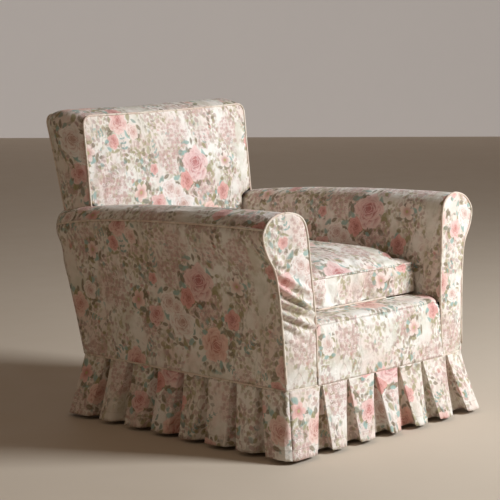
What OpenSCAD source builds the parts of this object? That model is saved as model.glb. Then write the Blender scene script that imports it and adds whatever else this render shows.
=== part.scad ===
// Club armchair with a fitted loose cover, a loose box cushion and a pleated skirt.
// Millimetres. +Z is up, the chair faces -Y, and the origin is on the floor at the middle of its plan.

/* [Overall] */
// Front hem of the skirt to the rear of the back's top
overall_depth = 972; // [900:1:1100]
// Floor to the seam along the top of the back
back_height = 828; // [780:1:900]
// Floor to the top of an arm at its front
arm_height = 611; // [580:1:660]
// Clear width between the arms at the seat
inside_width = 528; // [480:1:620]

/* [Arms] */
// How far the roll stands outside the base at the front
roll_out_front = 65; // [30:1:80]
// The same at the rear of the arm
roll_out_rear = 26; // [15:1:60]
// How far the top of the arm falls from front to rear
arm_fall = 38; // [0:1:60]
// How much further the top falls where the arm meets the outside back
arm_drop = 14; // [0:1:20]
// How far the roll draws in there
arm_tuck = 15; // [0:1:18]
// How far the front of the arm leans back over its height
arm_lean = 23; // [0:1:40]
// How far the inside of the arm opens out at the top
arm_open = 20; // [0:1:30]
// Thickness of the stuffing inside and over the arm
arm_stuffing = 20; // [15:1:26]
// Clear space between the side rail and the outside of the arm
side_pad = 18; // [14:0.5:30]

/* [Back] */
// Lean of the outside back, in degrees
back_rake = 15.8; // [10:0.1:20]
// How much less the inside back leans than the outside, in degrees
back_wedge = 9; // [7:0.1:10]
// Thickness of the back at its top
back_top_thickness = 142; // [110:1:160]
// Half width of the back above the arms
back_half_width = 325; // [300:1:345]
// How far the inside back bulges towards the sitter
back_crown = 25; // [10:1:35]
// Radius of the back's top corners
back_corner = 32; // [15:1:60]
// How much wider each side of the back is at its rear
back_splay = 10; // [0:1:20]
// How far the boxing round the back puffs out
boxing_puff = 16; // [5:1:24]

/* [Seat] */
// Floor to the platform under the cushion
deck_height = 336; // [300:1:380]
// Floor to the seam along the top of the front border
border_height = 321; // [290:1:330]
// Front of the border to the rear of the front lip
lip_depth = 78; // [60:1:110]
// How far the springs let the seat sink
seat_travel = 40; // [20:1:45]
// Height of the cushion's boxing
cushion_boxing = 82; // [60:1:110]
// How far the cushion's top crowns above its seam
cushion_crown = 48; // [20:1:60]
// Radius of the cushion's corners in plan
cushion_corner = 20; // [12:1:60]
// Clear space between the cushion and each arm
cushion_side_gap = 3; // [2:0.5:8]
// Clear space between the cushion and the inside back
cushion_back_gap = 11; // [10:0.5:20]
// How far the cushion lifts off
cushion_lift = 300; // [250:1:400]

/* [Skirt] */
// Floor to the skirt seam
seam_height = 173; // [150:1:190]
// Floor to the hem
hem_height = 10; // [5:1:25]
// How far the hem stands outside the seam
skirt_flare = 36; // [20:1:50]
// Distance from one pleat to the next
pleat_pitch = 106; // [80:1:140]
// Depth of a pleat's fold
pleat_depth = 15; // [8:1:20]

/* [Cloth] */
// Thickness of the cover with its lining
cloth = 1.6; // [1:0.1:2.5]
// Radius of the piping cord
piping_r = 3; // [2:0.25:4]
// Clear space between a seam's edge and its piping
seam_ease = 0.7; // [0.5:0.1:1.5]
// Clear space left between pieces that lie face to face
ease = 0.4; // [0.3:0.1:1]

/* [Timber] */
// Thickness of the seat rails
rail_t = 30; // [24:1:36]
// Underside of the seat rails above the floor
rail_low = 135; // [120:1:145]
// Height of the seat rails
rail_h = 90; // [70:1:100]
// Width of a front post across the chair
front_post_w = 50; // [40:1:60]
// Depth of a front post at its foot
front_post_d = 58; // [45:1:70]
// Width of a back post across the chair
back_post_w = 32; // [28:1:36]
// Depth of a back post, front to rear
back_post_d = 40; // [34:1:44]
// Thickness of the arm rail
arm_rail_t = 23; // [18:1:28]
// Thickness of the shaped board at the front of an arm
facing_t = 12; // [9:1:18]
// Side of the foot of each post
foot = 36; // [30:1:42]
// Radius of a foot's glide
glide_r = 14; // [10:1:16]

/* [Springs] */
// Radius of a seat spring at its ends
spring_end_r = 42; // [30:1:50]
// Radius of a seat spring at its waist
spring_waist_r = 28; // [20:1:40]
// Thickness of the spring wire
spring_wire = 3.6; // [3:0.1:4.5]
// Turns in one spring
spring_turns = 4.5; // [3:0.5:6]
// Springs in each direction
spring_rows = 3; // [2:1:4]
// Width of a webbing strap
web_w = 50; // [40:1:60]
// Thickness of a webbing strap
web_t = 1.5; // [1:0.1:2]

/* [Closures] */
// Width of a zip with its tapes
zip_w = 28; // [20:1:34]
// How far the cushion's zip stops short of its round corners
cushion_zip_margin = 4; // [0:1:30]
// Length of the cover's zip, up the outside back
cover_zip = 420; // [300:1:480]

/* [Hidden] */

BEECH = "burlywood";
JUTE = "tan";
COTTON = "oldlace";
PRINT = [0.86, 0.78, 0.70];
CORD = [0.93, 0.84, 0.76];
BRASS = "goldenrod";
STEEL = "slategray";

half_depth = overall_depth / 2;
inside_half = inside_width / 2;
skin_gap = cloth + ease;              // a cover's outer face to what lies under it
seam_gap = piping_r + seam_ease;      // a seam's line to the edge of the cloth on each side
stuffing_gap = piping_r + ease;       // a cover's outer face to the stuffing, clear of the piping
hang = pleat_depth * 0.25;            // how far a pleat stands out at the skirt seam
// The arm is built up from the inside: stuffing, back post, side rail, then the outside cover
back_post_in = inside_half + stuffing_gap + arm_stuffing + 2;
back_post_out = back_post_in + back_post_w;
side_rail_in = back_post_out + ease;
side_rail_out = side_rail_in + rail_t;
base_half = side_rail_out + side_pad;
front_seam_y = -half_depth + skirt_flare;
lean_slope = arm_lean / (arm_height - seam_height);
rake_slope = tan(back_rake);
face_slope = tan(back_rake - back_wedge);
back_rear_top = half_depth - piping_r;

// The planes that the cover's outer faces lie in, as Y at a height
function front_y(z) = front_seam_y + (z - seam_height) * lean_slope;
function rear_y(z) = back_rear_top - (back_height - z) * rake_slope;
function face_y(z) = rear_y(back_height) - back_top_thickness - (back_height - z) * face_slope;
function bulge(z) = back_crown * sin(180 * (z - deck_height) / (back_height - deck_height));

// Small list tools
function lerp(a, b, t) = a + (b - a) * t;
function unit(v) = v / norm(v);
function flat(rows) = [for (row = rows) each row];
function towards(a, b, d) = a + unit(b - a) * d;
function bend(a, b, c, d, t) = 0.5 * (2 * b + (c - a) * t + (2 * a - 5 * b + 4 * c - d) * t * t
    + (3 * b - a - 3 * c + d) * t * t * t);
function smooth(p, n) = [
    for (i = [0:len(p) - 2], s = [0:n - 1])
        bend(p[max(i - 1, 0)], p[i], p[i + 1], p[min(i + 2, len(p) - 1)], s / n),
    p[len(p) - 1]
];
// Moves a 2-D line to its right by d
function shifted(p, d) = [
    for (i = [0:len(p) - 1])
        let (t = unit(p[min(i + 1, len(p) - 1)] - p[max(i - 1, 0)]))
        p[i] + [t[1], -t[0]] * d
];
// Pulls the first and last points of a line inwards by d
function trimmed(p, d) = [
    towards(p[0], p[1], d), for (i = [1:len(p) - 2]) p[i], towards(p[len(p) - 1], p[len(p) - 2], d)
];
function arc(c, r, a0, a1, n) = [
    for (i = [0:n]) c + r * [cos(lerp(a0, a1, i / n)), sin(lerp(a0, a1, i / n))]
];

// A closed solid between two grids of points with the same rows and columns
module skin(outer, inner) {
    rows = len(outer);
    cols = len(outer[0]);
    n = rows * cols;
    function at(r, c) = r * cols + c;
    polyhedron(concat(flat(outer), flat(inner)), concat(
        [for (r = [0:rows - 2], c = [0:cols - 2]) each [
            [at(r, c), at(r, c + 1), at(r + 1, c + 1)], [at(r, c), at(r + 1, c + 1), at(r + 1, c)],
            [n + at(r, c), n + at(r + 1, c + 1), n + at(r, c + 1)],
            [n + at(r, c), n + at(r + 1, c), n + at(r + 1, c + 1)]]],
        [for (c = [0:cols - 2]) each [
            [at(0, c), n + at(0, c + 1), at(0, c + 1)], [at(0, c), n + at(0, c), n + at(0, c + 1)],
            [at(rows - 1, c), at(rows - 1, c + 1), n + at(rows - 1, c + 1)],
            [at(rows - 1, c), n + at(rows - 1, c + 1), n + at(rows - 1, c)]]],
        [for (r = [0:rows - 2]) each [
            [at(r, 0), at(r + 1, 0), n + at(r + 1, 0)], [at(r, 0), n + at(r + 1, 0), n + at(r, 0)],
            [at(r, cols - 1), n + at(r + 1, cols - 1), at(r + 1, cols - 1)],
            [at(r, cols - 1), n + at(r, cols - 1), n + at(r + 1, cols - 1)]]]
    ), convexity = 6);
}

// A round cord along a line of points. A closed one joins its end to its start.
module cord(line, r, closed = false, sides = 6) {
    n = len(line);
    up = [0.31, 0.17, 0.94];
    function way(i) = closed
        ? unit(line[(i + 1) % n] - line[(i + n - 1) % n])
        : unit(line[min(i + 1, n - 1)] - line[max(i - 1, 0)]);
    ring = [for (i = [0:n - 1]) let (t = way(i), a = unit(cross(t, up)), b = cross(t, a))
        [for (k = [0:sides - 1]) line[i] + r * (cos(360 * k / sides) * a + sin(360 * k / sides) * b)]];
    function at(i, k) = (i % n) * sides + k % sides;
    polyhedron(flat(ring), concat(
        [for (i = [0:closed ? n - 1 : n - 2], k = [0:sides - 1]) each [
            [at(i, k), at(i, k + 1), at(i + 1, k + 1)], [at(i, k), at(i + 1, k + 1), at(i + 1, k)]]],
        closed ? [] : [[for (k = [0:sides - 1]) sides - 1 - k], [for (k = [0:sides - 1]) at(n - 1, k)]]
    ), convexity = 8);
}

// Extrudes a side view, whose points are [y, z], across the chair
module across(x0, x1, side) {
    translate([x0, 0, 0]) rotate([90, 0, 90]) linear_extrude(x1 - x0) polygon(side);
}

// Lays a front view, whose points are [x, z], in a plane that leans by angle and passes through
// y at the skirt seam. It runs from depth d0 to depth d1 behind that plane.
module in_plane(y, angle, d0, d1) {
    translate([0, y, seam_height]) rotate([90 - angle, 0, 0]) translate([0, 0, -d1])
        linear_extrude(d1 - d0) children();
}
function down_plane(p, angle) = [for (q = p) [q[0], (q[1] - seam_height) / cos(angle)]];
lean = atan(lean_slope);

module pair(side) {
    if (side > 0) children();
    else mirror([1, 0, 0]) children();
}

// ---- Arm ----
// Half of a section across an arm, as [outwards, up], from the inside bottom over the top to the
// outside bottom. k is 0 at the front and 1 at the rear.
function arm_section(k) = let (
    late = pow(k, 6),
    out = base_half + lerp(roll_out_front, roll_out_rear, k) - arm_tuck * late,
    top = arm_height - arm_fall * k * k - arm_drop * late,
    inner = inside_half + arm_open,
    neck = base_half + lerp(0.42, 0.62, k) * (out - base_half),
    roll = out - inner
) [
    [inside_half, seam_height], [inside_half, deck_height], [lerp(inside_half, inner, 0.6), top - 140],
    [inner, top - 52], [inner + roll * 0.13, top - 14], [inner + roll * 0.44, top],
    [out - roll * 0.23, top - 10], [out - roll * 0.04, top - 36], [out, top - 60],
    [out - roll * 0.08, top - 96], [neck, top - 138], [lerp(base_half, neck, 0.55), top - 195],
    [lerp(base_half, neck, 0.2), lerp(seam_height, top, 0.3)], [base_half, seam_height]
];
BESIDE = 0.85;       // how far along the arm the back meets it
SEAM_POINT = 7;      // the section's point where the inside and outside arm are sewn together
FINE = 3;            // steps between two of the section's points
arm_steps = 5;       // steps from the front of the arm to its rear

function arm_line(k, first, last, depth) = let (
    s = smooth(arm_section(k), FINE),
    part = [for (i = [first * FINE:last * FINE]) s[i]]
) shifted(part, depth);
function arm_y(k, z, from, to) = lerp(front_y(z) + from, rear_y(z) - to, k);
// The share of an arm's length at which a point of its section stops: those that the back covers
// stop just behind the back's face
function arm_share(p, stop) = let (z = p[1], behind = 10)
    !stop || p[0] > back_half_width + back_splay + 2 ? 1
    : (face_y(z) + behind - front_y(z)) / (rear_y(z) - front_y(z));
function arm_grid(first, last, depth, from, to, trim, stop = false) = let (
    shares = [for (p = trimmed(arm_line(1, first, last, depth), trim)) arm_share(p, stop)]
) [for (i = [0:arm_steps]) [
    for (j = [0:len(shares) - 1]) let (k = shares[j] * i / arm_steps,
        p = trimmed(arm_line(k, first, last, depth), trim)[j]) [p[0], arm_y(k, p[1], from, to), p[1]]]];
// Drops the part of the inside arm below the platform, which tucks in beside it
function tucked(grid) = [for (row = grid) [
    for (i = [0:len(row) - 1]) i == 0 ? [row[0][0], row[0][1], deck_height - 16] : row[i]
]];

module cover_inside_arm(side) color(PRINT) pair(side) skin(
    tucked(arm_grid(1, SEAM_POINT, 0, seam_gap, seam_gap, seam_gap, true)),
    tucked(arm_grid(1, SEAM_POINT, cloth, seam_gap, seam_gap, seam_gap, true)));

module cover_outside_arm(side) color(PRINT) pair(side) skin(
    arm_grid(SEAM_POINT, 13, 0, seam_gap, seam_gap, seam_gap),
    arm_grid(SEAM_POINT, 13, cloth, seam_gap, seam_gap, seam_gap));

stuffing_rear = back_post_d + 18;
module arm_stuffing(side) color(COTTON) pair(side) skin(
    tucked(arm_grid(1, 8, stuffing_gap, facing_rear + ease, stuffing_rear, 2)),
    tucked(arm_grid(1, 8, stuffing_gap + arm_stuffing, facing_rear + ease, stuffing_rear, 2)));

facing_front = skin_gap + 14;                // padding between the cover and the shaped board
facing_rear = facing_front + facing_t;
module arm_front_shape(inset) polygon(down_plane(shifted(smooth(arm_section(0), FINE), inset), lean));

module cover_arm_front(side) color(PRINT) pair(side) in_plane(front_seam_y, lean, 0, cloth)
    intersection() {
        arm_front_shape(seam_gap);
        translate([0, seam_gap]) square([2 * base_half, arm_height]);
    }

module facing_board(side) color(BEECH) pair(side) in_plane(front_seam_y, lean, facing_front, facing_rear)
    intersection() {
        arm_front_shape(seam_gap + 4);
        translate([0, 12]) square([2 * base_half, arm_height]);
    }

function front_ring() = [
    for (p = smooth(arm_section(0), FINE)) if (p[1] > seam_height + 1) [p[0], front_y(p[1]), p[1]]
];
function ring_with_feet() = concat(
    [[inside_half, front_y(seam_height + 2 * piping_r + 2), seam_height + 2 * piping_r + 2]],
    front_ring(),
    [[base_half, front_y(seam_height + 2 * piping_r + 2), seam_height + 2 * piping_r + 2]]);
module arm_piping(side) color(CORD) pair(side) {
    cord(ring_with_feet(), piping_r);
    cord([for (i = [0:2 * arm_steps]) let (k = i / (2 * arm_steps), p = arm_section(k)[SEAM_POINT])
        [p[0], arm_y(k, p[1], 2 * seam_gap + 1, 2 * seam_gap + 1), p[1]]], piping_r);
}

// ---- Timber ----
front_post_out = side_rail_out + 6;
front_post_in = front_post_out - front_post_w;
post_face = facing_rear + ease;              // a front post's face behind the cover
front_post_rear = front_y(rail_low) + post_face + front_post_d;
front_foot = [(front_post_in + front_post_out) / 2, front_post_rear - front_post_d / 2];
arm_rail_low = arm_height - 71;
glide_h = 10;
back_post_depth = skin_gap + 4;              // outside back to the rear of a back post
rail_top = rail_low + rail_h;
back_foot_y = rear_y(seam_height) - 4;

module front_post(side) color(BEECH) pair(side) {
    across(front_post_in, front_post_out, [
        [front_y(rail_low) + post_face, rail_low],
        [front_y(arm_rail_low) + post_face, arm_rail_low - ease],
        [front_post_rear, arm_rail_low - ease], [front_post_rear, rail_low]]);
    translate([front_foot[0] - foot / 2, front_foot[1] - foot / 2, glide_h])
        cube([foot, foot, rail_low - glide_h]);
}

function post_rear(z) = rear_y(z) - back_post_depth;
function post_front(z) = post_rear(z) - back_post_d;
post_top = back_height - skin_gap - 12;
module back_post(side) color(BEECH) pair(side) across(back_post_in, back_post_out, [
    [post_front(rail_top), rail_top], [post_front(post_top), post_top], [post_rear(post_top), post_top],
    [post_rear(seam_height), seam_height], [back_foot_y, glide_h], [back_foot_y - foot, glide_h],
    [post_front(rail_top) - 2, rail_low]]);

front_rail_y = front_y(rail_top) + post_face;
module front_rail() color(BEECH) translate([-front_post_in + ease, front_rail_y, rail_low])
    cube([2 * (front_post_in - ease), rail_t, rail_h]);

back_rail_y = rear_y(seam_height) - hang - skin_gap - 2 - rail_t;
module back_rail() color(BEECH) translate([-back_post_in + ease, back_rail_y, rail_low])
    cube([2 * (back_post_in - ease), rail_t, rail_h]);

module side_rail(side) color(BEECH) pair(side)
    translate([side_rail_in, front_post_rear + ease, rail_low])
        cube([rail_t, rear_y(rail_low) - 22 - front_post_rear, rail_h]);

block = 46;
module corner_blocks() color(BEECH) for (side = [-1, 1]) pair(side) {
    translate([front_post_in - ease, front_rail_y + rail_t + ease, rail_top - 60])
        mirror([1, 0, 0]) linear_extrude(50) polygon([[0, 0], [block, 0], [0, block]]);
    translate([back_post_in - ease, back_rail_y - ease, rail_top - 60])
        mirror([1, 0, 0]) linear_extrude(50) polygon([[0, 0], [block, 0], [0, -block]]);
}

back_foot = [back_post_in + back_post_w / 2, back_foot_y - foot / 2];
module glides() color(STEEL) for (side = [-1, 1], p = [front_foot, back_foot])
    translate([side * p[0], p[1], 0]) {
        cylinder(h = 3, r1 = glide_r - 2, r2 = glide_r, $fn = 48);
        translate([0, 0, 3]) cylinder(h = glide_h - 3 - ease, r = glide_r, $fn = 48);
    }

arm_rail_in = back_post_out + ease;
arm_rail_out = side_rail_out + 3;
function rail_drop(k) = arm_fall * k * k + arm_drop * pow(k, 6);
module arm_rail(side) color(BEECH) pair(side) {
    y0 = front_y(arm_rail_low + arm_rail_t) + post_face;
    y1 = rear_y(arm_rail_low - arm_fall - arm_drop) - 26;
    steps = 4;
    bottom = [for (i = [0:steps]) [lerp(y0, y1, i / steps), arm_rail_low - rail_drop(i / steps)]];
    top = [for (i = [steps:-1:0])
        [lerp(y0, y1, i / steps), arm_rail_low + arm_rail_t - rail_drop(i / steps)]];
    on_post = [front_post_rear, arm_rail_low];
    across(arm_rail_in, arm_rail_out, concat([bottom[0], on_post], [for (i = [1:steps]) bottom[i]], top));
}

tack_low = deck_height - 30;
module arm_tack_rail(side) color(BEECH) pair(side)
    translate([side_rail_in, front_post_rear + ease, tack_low])
        cube([22, rear_y(tack_low) - 24 - front_post_rear, 34]);

// A rail between the back posts, from height low to height high
module back_cross_rail(low, high) color(BEECH) across(-back_post_in + ease, back_post_in - ease,
    [[post_front(low), low], [post_front(high), high], [post_rear(high), high], [post_rear(low), low]]);
module top_rail() back_cross_rail(post_top - 62, post_top);
module back_tack_rail() back_cross_rail(tack_low, tack_low + 40);

// ---- Springs, webbing and stuffing ----
spring_foot = rail_low + 0.1;
hessian_low = deck_height - cloth - 26;
spring_pitch = 165;
seat_mid_y = (front_rail_y + rail_t + back_rail_y) / 2;
web_x = [for (i = [-1:1]) i * spring_pitch];
web_y = [for (i = [-1:1]) seat_mid_y + i * spring_pitch];
module seat_webbing() color(JUTE) {
    for (x = web_x) translate([x - web_w / 2, front_rail_y + 6, rail_low - web_t - 0.1])
        cube([web_w, back_rail_y + rail_t - 12 - front_rail_y, web_t]);
    for (y = web_y) translate([-side_rail_in - 20, y - web_w / 2, rail_low - 2 * web_t - 0.3])
        cube([2 * (side_rail_in + 20), web_w, web_t]);
}

function spring_r(t) = lerp(spring_waist_r, spring_end_r, pow(abs(2 * t - 1), 1.4));
module spring() {
    low = spring_foot + spring_wire / 2;
    high = hessian_low - ease - spring_wire / 2;
    steps = round(10 * spring_turns);
    cord([for (i = [0:steps]) let (t = i / steps, a = 360 * spring_turns * t)
        [spring_r(t) * cos(a), spring_r(t) * sin(a), lerp(low, high, t)]], spring_wire / 2, sides = 5);
}
module seat_springs() color(STEEL)
    for (i = [0:spring_rows - 1], j = [0:spring_rows - 1]) let (middle = (spring_rows - 1) / 2)
        translate([(i - middle) * spring_pitch, seat_mid_y + (j - middle) * spring_pitch, 0]) spring();

lip_rear = front_y(border_height) + lip_depth;
deck_front = lip_rear + 2;
cushion_half = inside_half - cushion_side_gap - piping_r;
cushion_rear = face_y(deck_height + cushion_boxing / 2) - cushion_back_gap - 4;
cushion_front = deck_front + 2 + piping_r;
deck_half = inside_half - 6;
deck_rear = cushion_rear + 4;
module spring_hessian() color(JUTE) translate([-deck_half, deck_front, hessian_low])
    cube([2 * deck_half, deck_rear - deck_front, 2]);
module deck_pad() color(COTTON) translate([-deck_half, deck_front, hessian_low + 2 + ease])
    cube([2 * deck_half, deck_rear - deck_front, deck_height - cloth - ease - (hessian_low + 2 + ease)]);
module cover_platform() color(PRINT) translate([-deck_half, deck_front, deck_height - cloth])
    cube([2 * deck_half, deck_rear - deck_front, cloth]);

// The rounded top of the front edge, from the border's seam back to its tail behind the lip
lip_tail = 40;
function lip_line(depth) = shifted(concat(smooth([
    [front_y(border_height) + seam_gap, border_height + 5], [front_y(border_height) + 22, border_height + 12],
    [front_y(border_height) + 46, deck_height - 1], [lip_rear - 3, deck_height]], 5),
    [[lip_rear, deck_height - 3], [lip_rear, deck_height - lip_tail]]), depth);
module edge_roll() color(COTTON) across(-inside_half + 2, inside_half - 2, concat(lip_line(skin_gap),
    [[lip_rear - skin_gap, rail_top + ease], [front_y(rail_top) + skin_gap, rail_top + ease]]));
module cover_seat_lip() color(PRINT) across(-inside_half + seam_gap, inside_half - seam_gap, concat(
    lip_line(0), [for (i = [len(lip_line(0)) - 1:-1:0]) lip_line(cloth)[i]]));
module cover_front_border() color(PRINT) in_plane(front_seam_y, lean, 0, cloth)
    translate([-inside_half + seam_gap, seam_gap])
        square([2 * (inside_half - seam_gap), (border_height - seam_height) / cos(lean) - seam_gap]);

back_web_z = [tack_low + 90, tack_low + 210, tack_low + 330];
module back_webbing() color(JUTE) for (z = back_web_z)
    across(-back_post_out, back_post_out, [
        for (q = [[-0.2, 0], [-0.2, web_w], [-0.2 - web_t, web_w], [-0.2 - web_t, 0]])
            [post_front(z + q[1]) + q[0], z + q[1]]]);

arm_top_rear = arm_height - arm_fall - arm_drop;
shoulder = arm_section(BESIDE)[5][1] + 3;     // where the back spreads over the arms
back_low = deck_height - 10;
// The back's half width at a height: it follows the arm up, then spreads over it
function back_half(z, inset) = let (s = arm_section(BESIDE)) lookup(z, concat(
    [for (i = [1:4]) [s[i][1], s[i][0] - inset - (i == 4 ? 16 : 0)]],
    [[shoulder, back_half_width - inset]]));
// Its heights and half widths, with round top corners
function back_rows(low, inset) = let (top = back_height - inset, r = max(back_corner - inset, 2)) concat(
    [for (z = [low, deck_height + 60, shoulder - 50, shoulder - 20, shoulder, top - r])
        [z, back_half(z, inset)]],
    [for (i = [1:6]) [top - r + r * sin(15 * i), back_half(top, inset) - r + r * cos(15 * i)]]);
function back_grid(low, inset, depth) = let (n = 12) [
    for (row = back_rows(low, inset)) [
        for (c = [0:n]) let (u = 2 * c / n - 1, z = row[0])
            [u * row[1], face_y(z) + depth - bulge(z) * (1 - u * u), z]]
];
// A flat grid with as many points, just in front of the back posts
function post_grid(grid, gap) = [for (row = grid) [for (p = row) [p[0], post_front(p[2]) - gap, p[2]]]];
module back_stuffing() color(COTTON) {
    front = back_grid(back_low + 12, seam_gap + 4, stuffing_gap + 1);
    skin(front, post_grid(front, 3));
}
module cover_inside_back() color(PRINT)
    skin(back_grid(back_low, seam_gap, 0), back_grid(back_low, seam_gap, cloth));

// The back's outline above the arms, from the right side over the top to the left
function back_outline(low, inset, extra = 0) = let (
    h = back_half_width + extra - inset, top = back_height - inset, r = max(back_corner - inset, 2)
) concat([[h, low]], arc([h - r, top - r], r, 0, 90, 6), arc([r - h, top - r], r, 90, 180, 6), [[-h, low]]);
// The boxing's outline at a share t of the way from the face to the rear
function boxing_wrap(inset, t) = [
    for (p = back_outline(lerp(shoulder + 2, arm_top_rear + 5, t), inset - boxing_puff * sin(180 * t),
        back_splay * t)) [p[0], lerp(face_y(p[1]) + seam_gap, rear_y(p[1]) - seam_gap, t), p[1]]
];
module cover_back_boxing() color(PRINT) {
    shares = [for (i = [0:6]) i / 6];
    skin([for (t = shares) boxing_wrap(0, t)], [for (t = shares) boxing_wrap(cloth, t)]);
}

function outside_back_half() = concat(
    [for (p = shifted(smooth(arm_section(1), FINE), seam_gap)) if (p[0] > back_half_width + back_splay) p]);
module cover_outside_back() color(PRINT) in_plane(rear_y(seam_height), back_rake, -cloth, 0)
    polygon(down_plane(concat(
        [[base_half - seam_gap, seam_height + seam_gap]],
        [for (i = [len(outside_back_half()) - 1:-1:0]) if (outside_back_half()[i][1] > seam_height + 12)
            outside_back_half()[i]],
        back_outline(arm_top_rear, seam_gap, back_splay),
        [for (p = outside_back_half()) if (p[1] > seam_height + 12) [-p[0], p[1]]],
        [[-base_half + seam_gap, seam_height + seam_gap]]), back_rake));

module back_piping() color(CORD) {
    cord([for (p = back_outline(shoulder + 2, 0)) [p[0], face_y(p[1]), p[1]]], piping_r);
    cord([for (p = back_outline(arm_top_rear + 6, 0, back_splay)) [p[0], rear_y(p[1]), p[1]]], piping_r);
}

// The dust cover under the seat, notched round the four legs
module bottom_cloth() color("dimgray") {
    half = side_rail_out - 4;
    leg_side = min(front_post_in, back_post_in) - 2;
    front = front_rail_y + 4;
    rear = back_rail_y + rail_t - 4;
    translate([0, 0, rail_low - 4.4]) linear_extrude(0.8) {
        translate([-leg_side, front]) square([2 * leg_side, rear - front]);
        translate([-half, front_post_rear + 2])
            square([2 * half, back_foot_y - foot - 16 - (front_post_rear + 2)]);
    }
}

// ---- Skirt ----
function base_outline(out) = let (x = base_half + out, y0 = front_seam_y - out,
    y1 = rear_y(seam_height) + out, r = 18 + out) concat(
    arc([x - r, y0 + r], r, -90, 0, 4), arc([x - r, y1 - r], r, 0, 90, 4),
    arc([r - x, y1 - r], r, 90, 180, 4), arc([r - x, y0 + r], r, 180, 270, 4));
module skirt_piping() color(CORD)
    cord([for (p = base_outline(0)) [p[0], p[1], seam_height]], piping_r, closed = true);

skirt_top = seam_height - seam_gap;
fold_flare = skirt_flare - pleat_depth + hang;
// One pleat as [share of its width, share of its depth]
PLEAT = [[0, 0], [0.06, 0.9], [0.12, 1], [0.88, 1], [0.94, 0.9], [1, 0]];
// The skirt's line at a share drop of the way down. It hangs from y = 0 and flares towards -Y.
function skirt_line(length, growth, drop, back) = let (
    count = max(1, round(length / pleat_pitch)), pitch = (length + 2 * growth * drop) / count,
    place = back - drop * fold_flare, depth = hang + drop * (pleat_depth - hang),
    z = lerp(skirt_top, hem_height, drop)
) concat([for (i = [0:count - 1], f = [0:len(PLEAT) - 2])
    [(i + PLEAT[f][0] - count / 2) * pitch, place - depth * PLEAT[f][1], z]],
    [[count / 2 * pitch, place, z]]);
module skirt_side(length, growth) skin(
    [for (d = [0, 0.5, 1]) skirt_line(length, growth, d, 0)],
    [for (d = [0, 0.5, 1]) skirt_line(length, growth, d, cloth)]);
corner_gap = hang + cloth + ease;
side_length = rear_y(seam_height) - front_seam_y - 2 * corner_gap;
module skirt_front() color(PRINT) translate([0, front_seam_y + hang, 0])
    skirt_side(2 * base_half, skirt_flare);
module skirt_back() color(PRINT) translate([0, rear_y(seam_height) - hang, 0]) rotate([0, 0, 180])
    skirt_side(2 * base_half, skirt_flare);
module skirt_at(side) color(PRINT) pair(side)
    translate([base_half - hang, (front_seam_y + rear_y(seam_height)) / 2, 0]) rotate([0, 0, 90])
        skirt_side(side_length, fold_flare);

// ---- Cushion ----
cushion_low = deck_height + ease + piping_r;
cushion_top_z = cushion_low + cushion_boxing;
cushion_mid_y = (cushion_front + cushion_rear) / 2;
cushion_half_d = (cushion_rear - cushion_front) / 2;
cushion_zip = 2 * (cushion_half - cushion_corner - cushion_zip_margin);
function cushion_plan(inset) = let (x = cushion_half - inset, y = cushion_half_d - inset,
    r = max(cushion_corner - inset, 3)) concat(
    arc([x - r, y - r], r, 0, 90, 5), arc([r - x, y - r], r, 90, 180, 5),
    arc([r - x, r - y], r, 180, 270, 5), arc([x - r, r - y], r, 270, 360, 5));
// Height of the crown at a share of the way from the middle to the seam
function crown(share) = 1 - pow(share, 2.4);
CROWN_RINGS = [1, 0.93, 0.8, 0.6, 0.35];
// A closed solid under a crowned top, from ring points that shrink to the middle
module crowned(plan, low, high, rise_low, rise_high) {
    n = len(plan);
    k = len(CROWN_RINGS);
    function ring(share, z, rise) = [for (p = plan) [p[0] * share, p[1] * share, z + rise * crown(share)]];
    upper = [for (s = CROWN_RINGS) ring(s, high, rise_high)];
    lower = [for (s = CROWN_RINGS) ring(s, low, rise_low)];
    pts = concat(flat(upper), flat(lower), [[0, 0, high + rise_high], [0, 0, low + rise_low]]);
    mid_up = 2 * n * k;
    function at(r, c) = r * n + c % n;
    function lo(r, c) = n * k + r * n + c % n;
    polyhedron(pts, concat(
        [for (r = [0:k - 2], c = [0:n - 1]) each [
            [at(r, c), at(r + 1, c + 1), at(r, c + 1)], [at(r, c), at(r + 1, c), at(r + 1, c + 1)],
            [lo(r, c), lo(r, c + 1), lo(r + 1, c + 1)], [lo(r, c), lo(r + 1, c + 1), lo(r + 1, c)]]],
        [for (c = [0:n - 1]) each [
            [at(k - 1, c), mid_up, at(k - 1, c + 1)], [lo(k - 1, c), lo(k - 1, c + 1), mid_up + 1],
            [at(0, c), at(0, c + 1), lo(0, c + 1)], [at(0, c), lo(0, c + 1), lo(0, c)]]]
    ), convexity = 4);
}
module in_cushion() translate([0, cushion_mid_y, 0]) children();
module cushion_core() color(COTTON) in_cushion()
    crowned(cushion_plan(seam_gap), cushion_low + skin_gap, cushion_top_z - skin_gap, 0, cushion_crown);
module cushion_top() color(PRINT) in_cushion()
    crowned(cushion_plan(seam_gap), cushion_top_z - cloth, cushion_top_z, cushion_crown, cushion_crown);
module cushion_bottom() color(PRINT) in_cushion() translate([0, 0, cushion_low])
    linear_extrude(cloth) polygon(cushion_plan(seam_gap));
module cushion_boxing_strip() color(PRINT) in_cushion() translate([0, 0, cushion_low + seam_gap])
    linear_extrude(cushion_boxing - 2 * seam_gap) difference() {
        polygon(cushion_plan(0));
        polygon(cushion_plan(cloth));
    }
module cushion_piping() color(CORD) in_cushion() for (z = [cushion_low, cushion_top_z])
    cord([for (p = cushion_plan(0)) [p[0], p[1], z]], piping_r, closed = true);

// ---- Zips ----
coil_w = 5;
coil_h = 1.6;
tape_t = 0.9;
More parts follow.
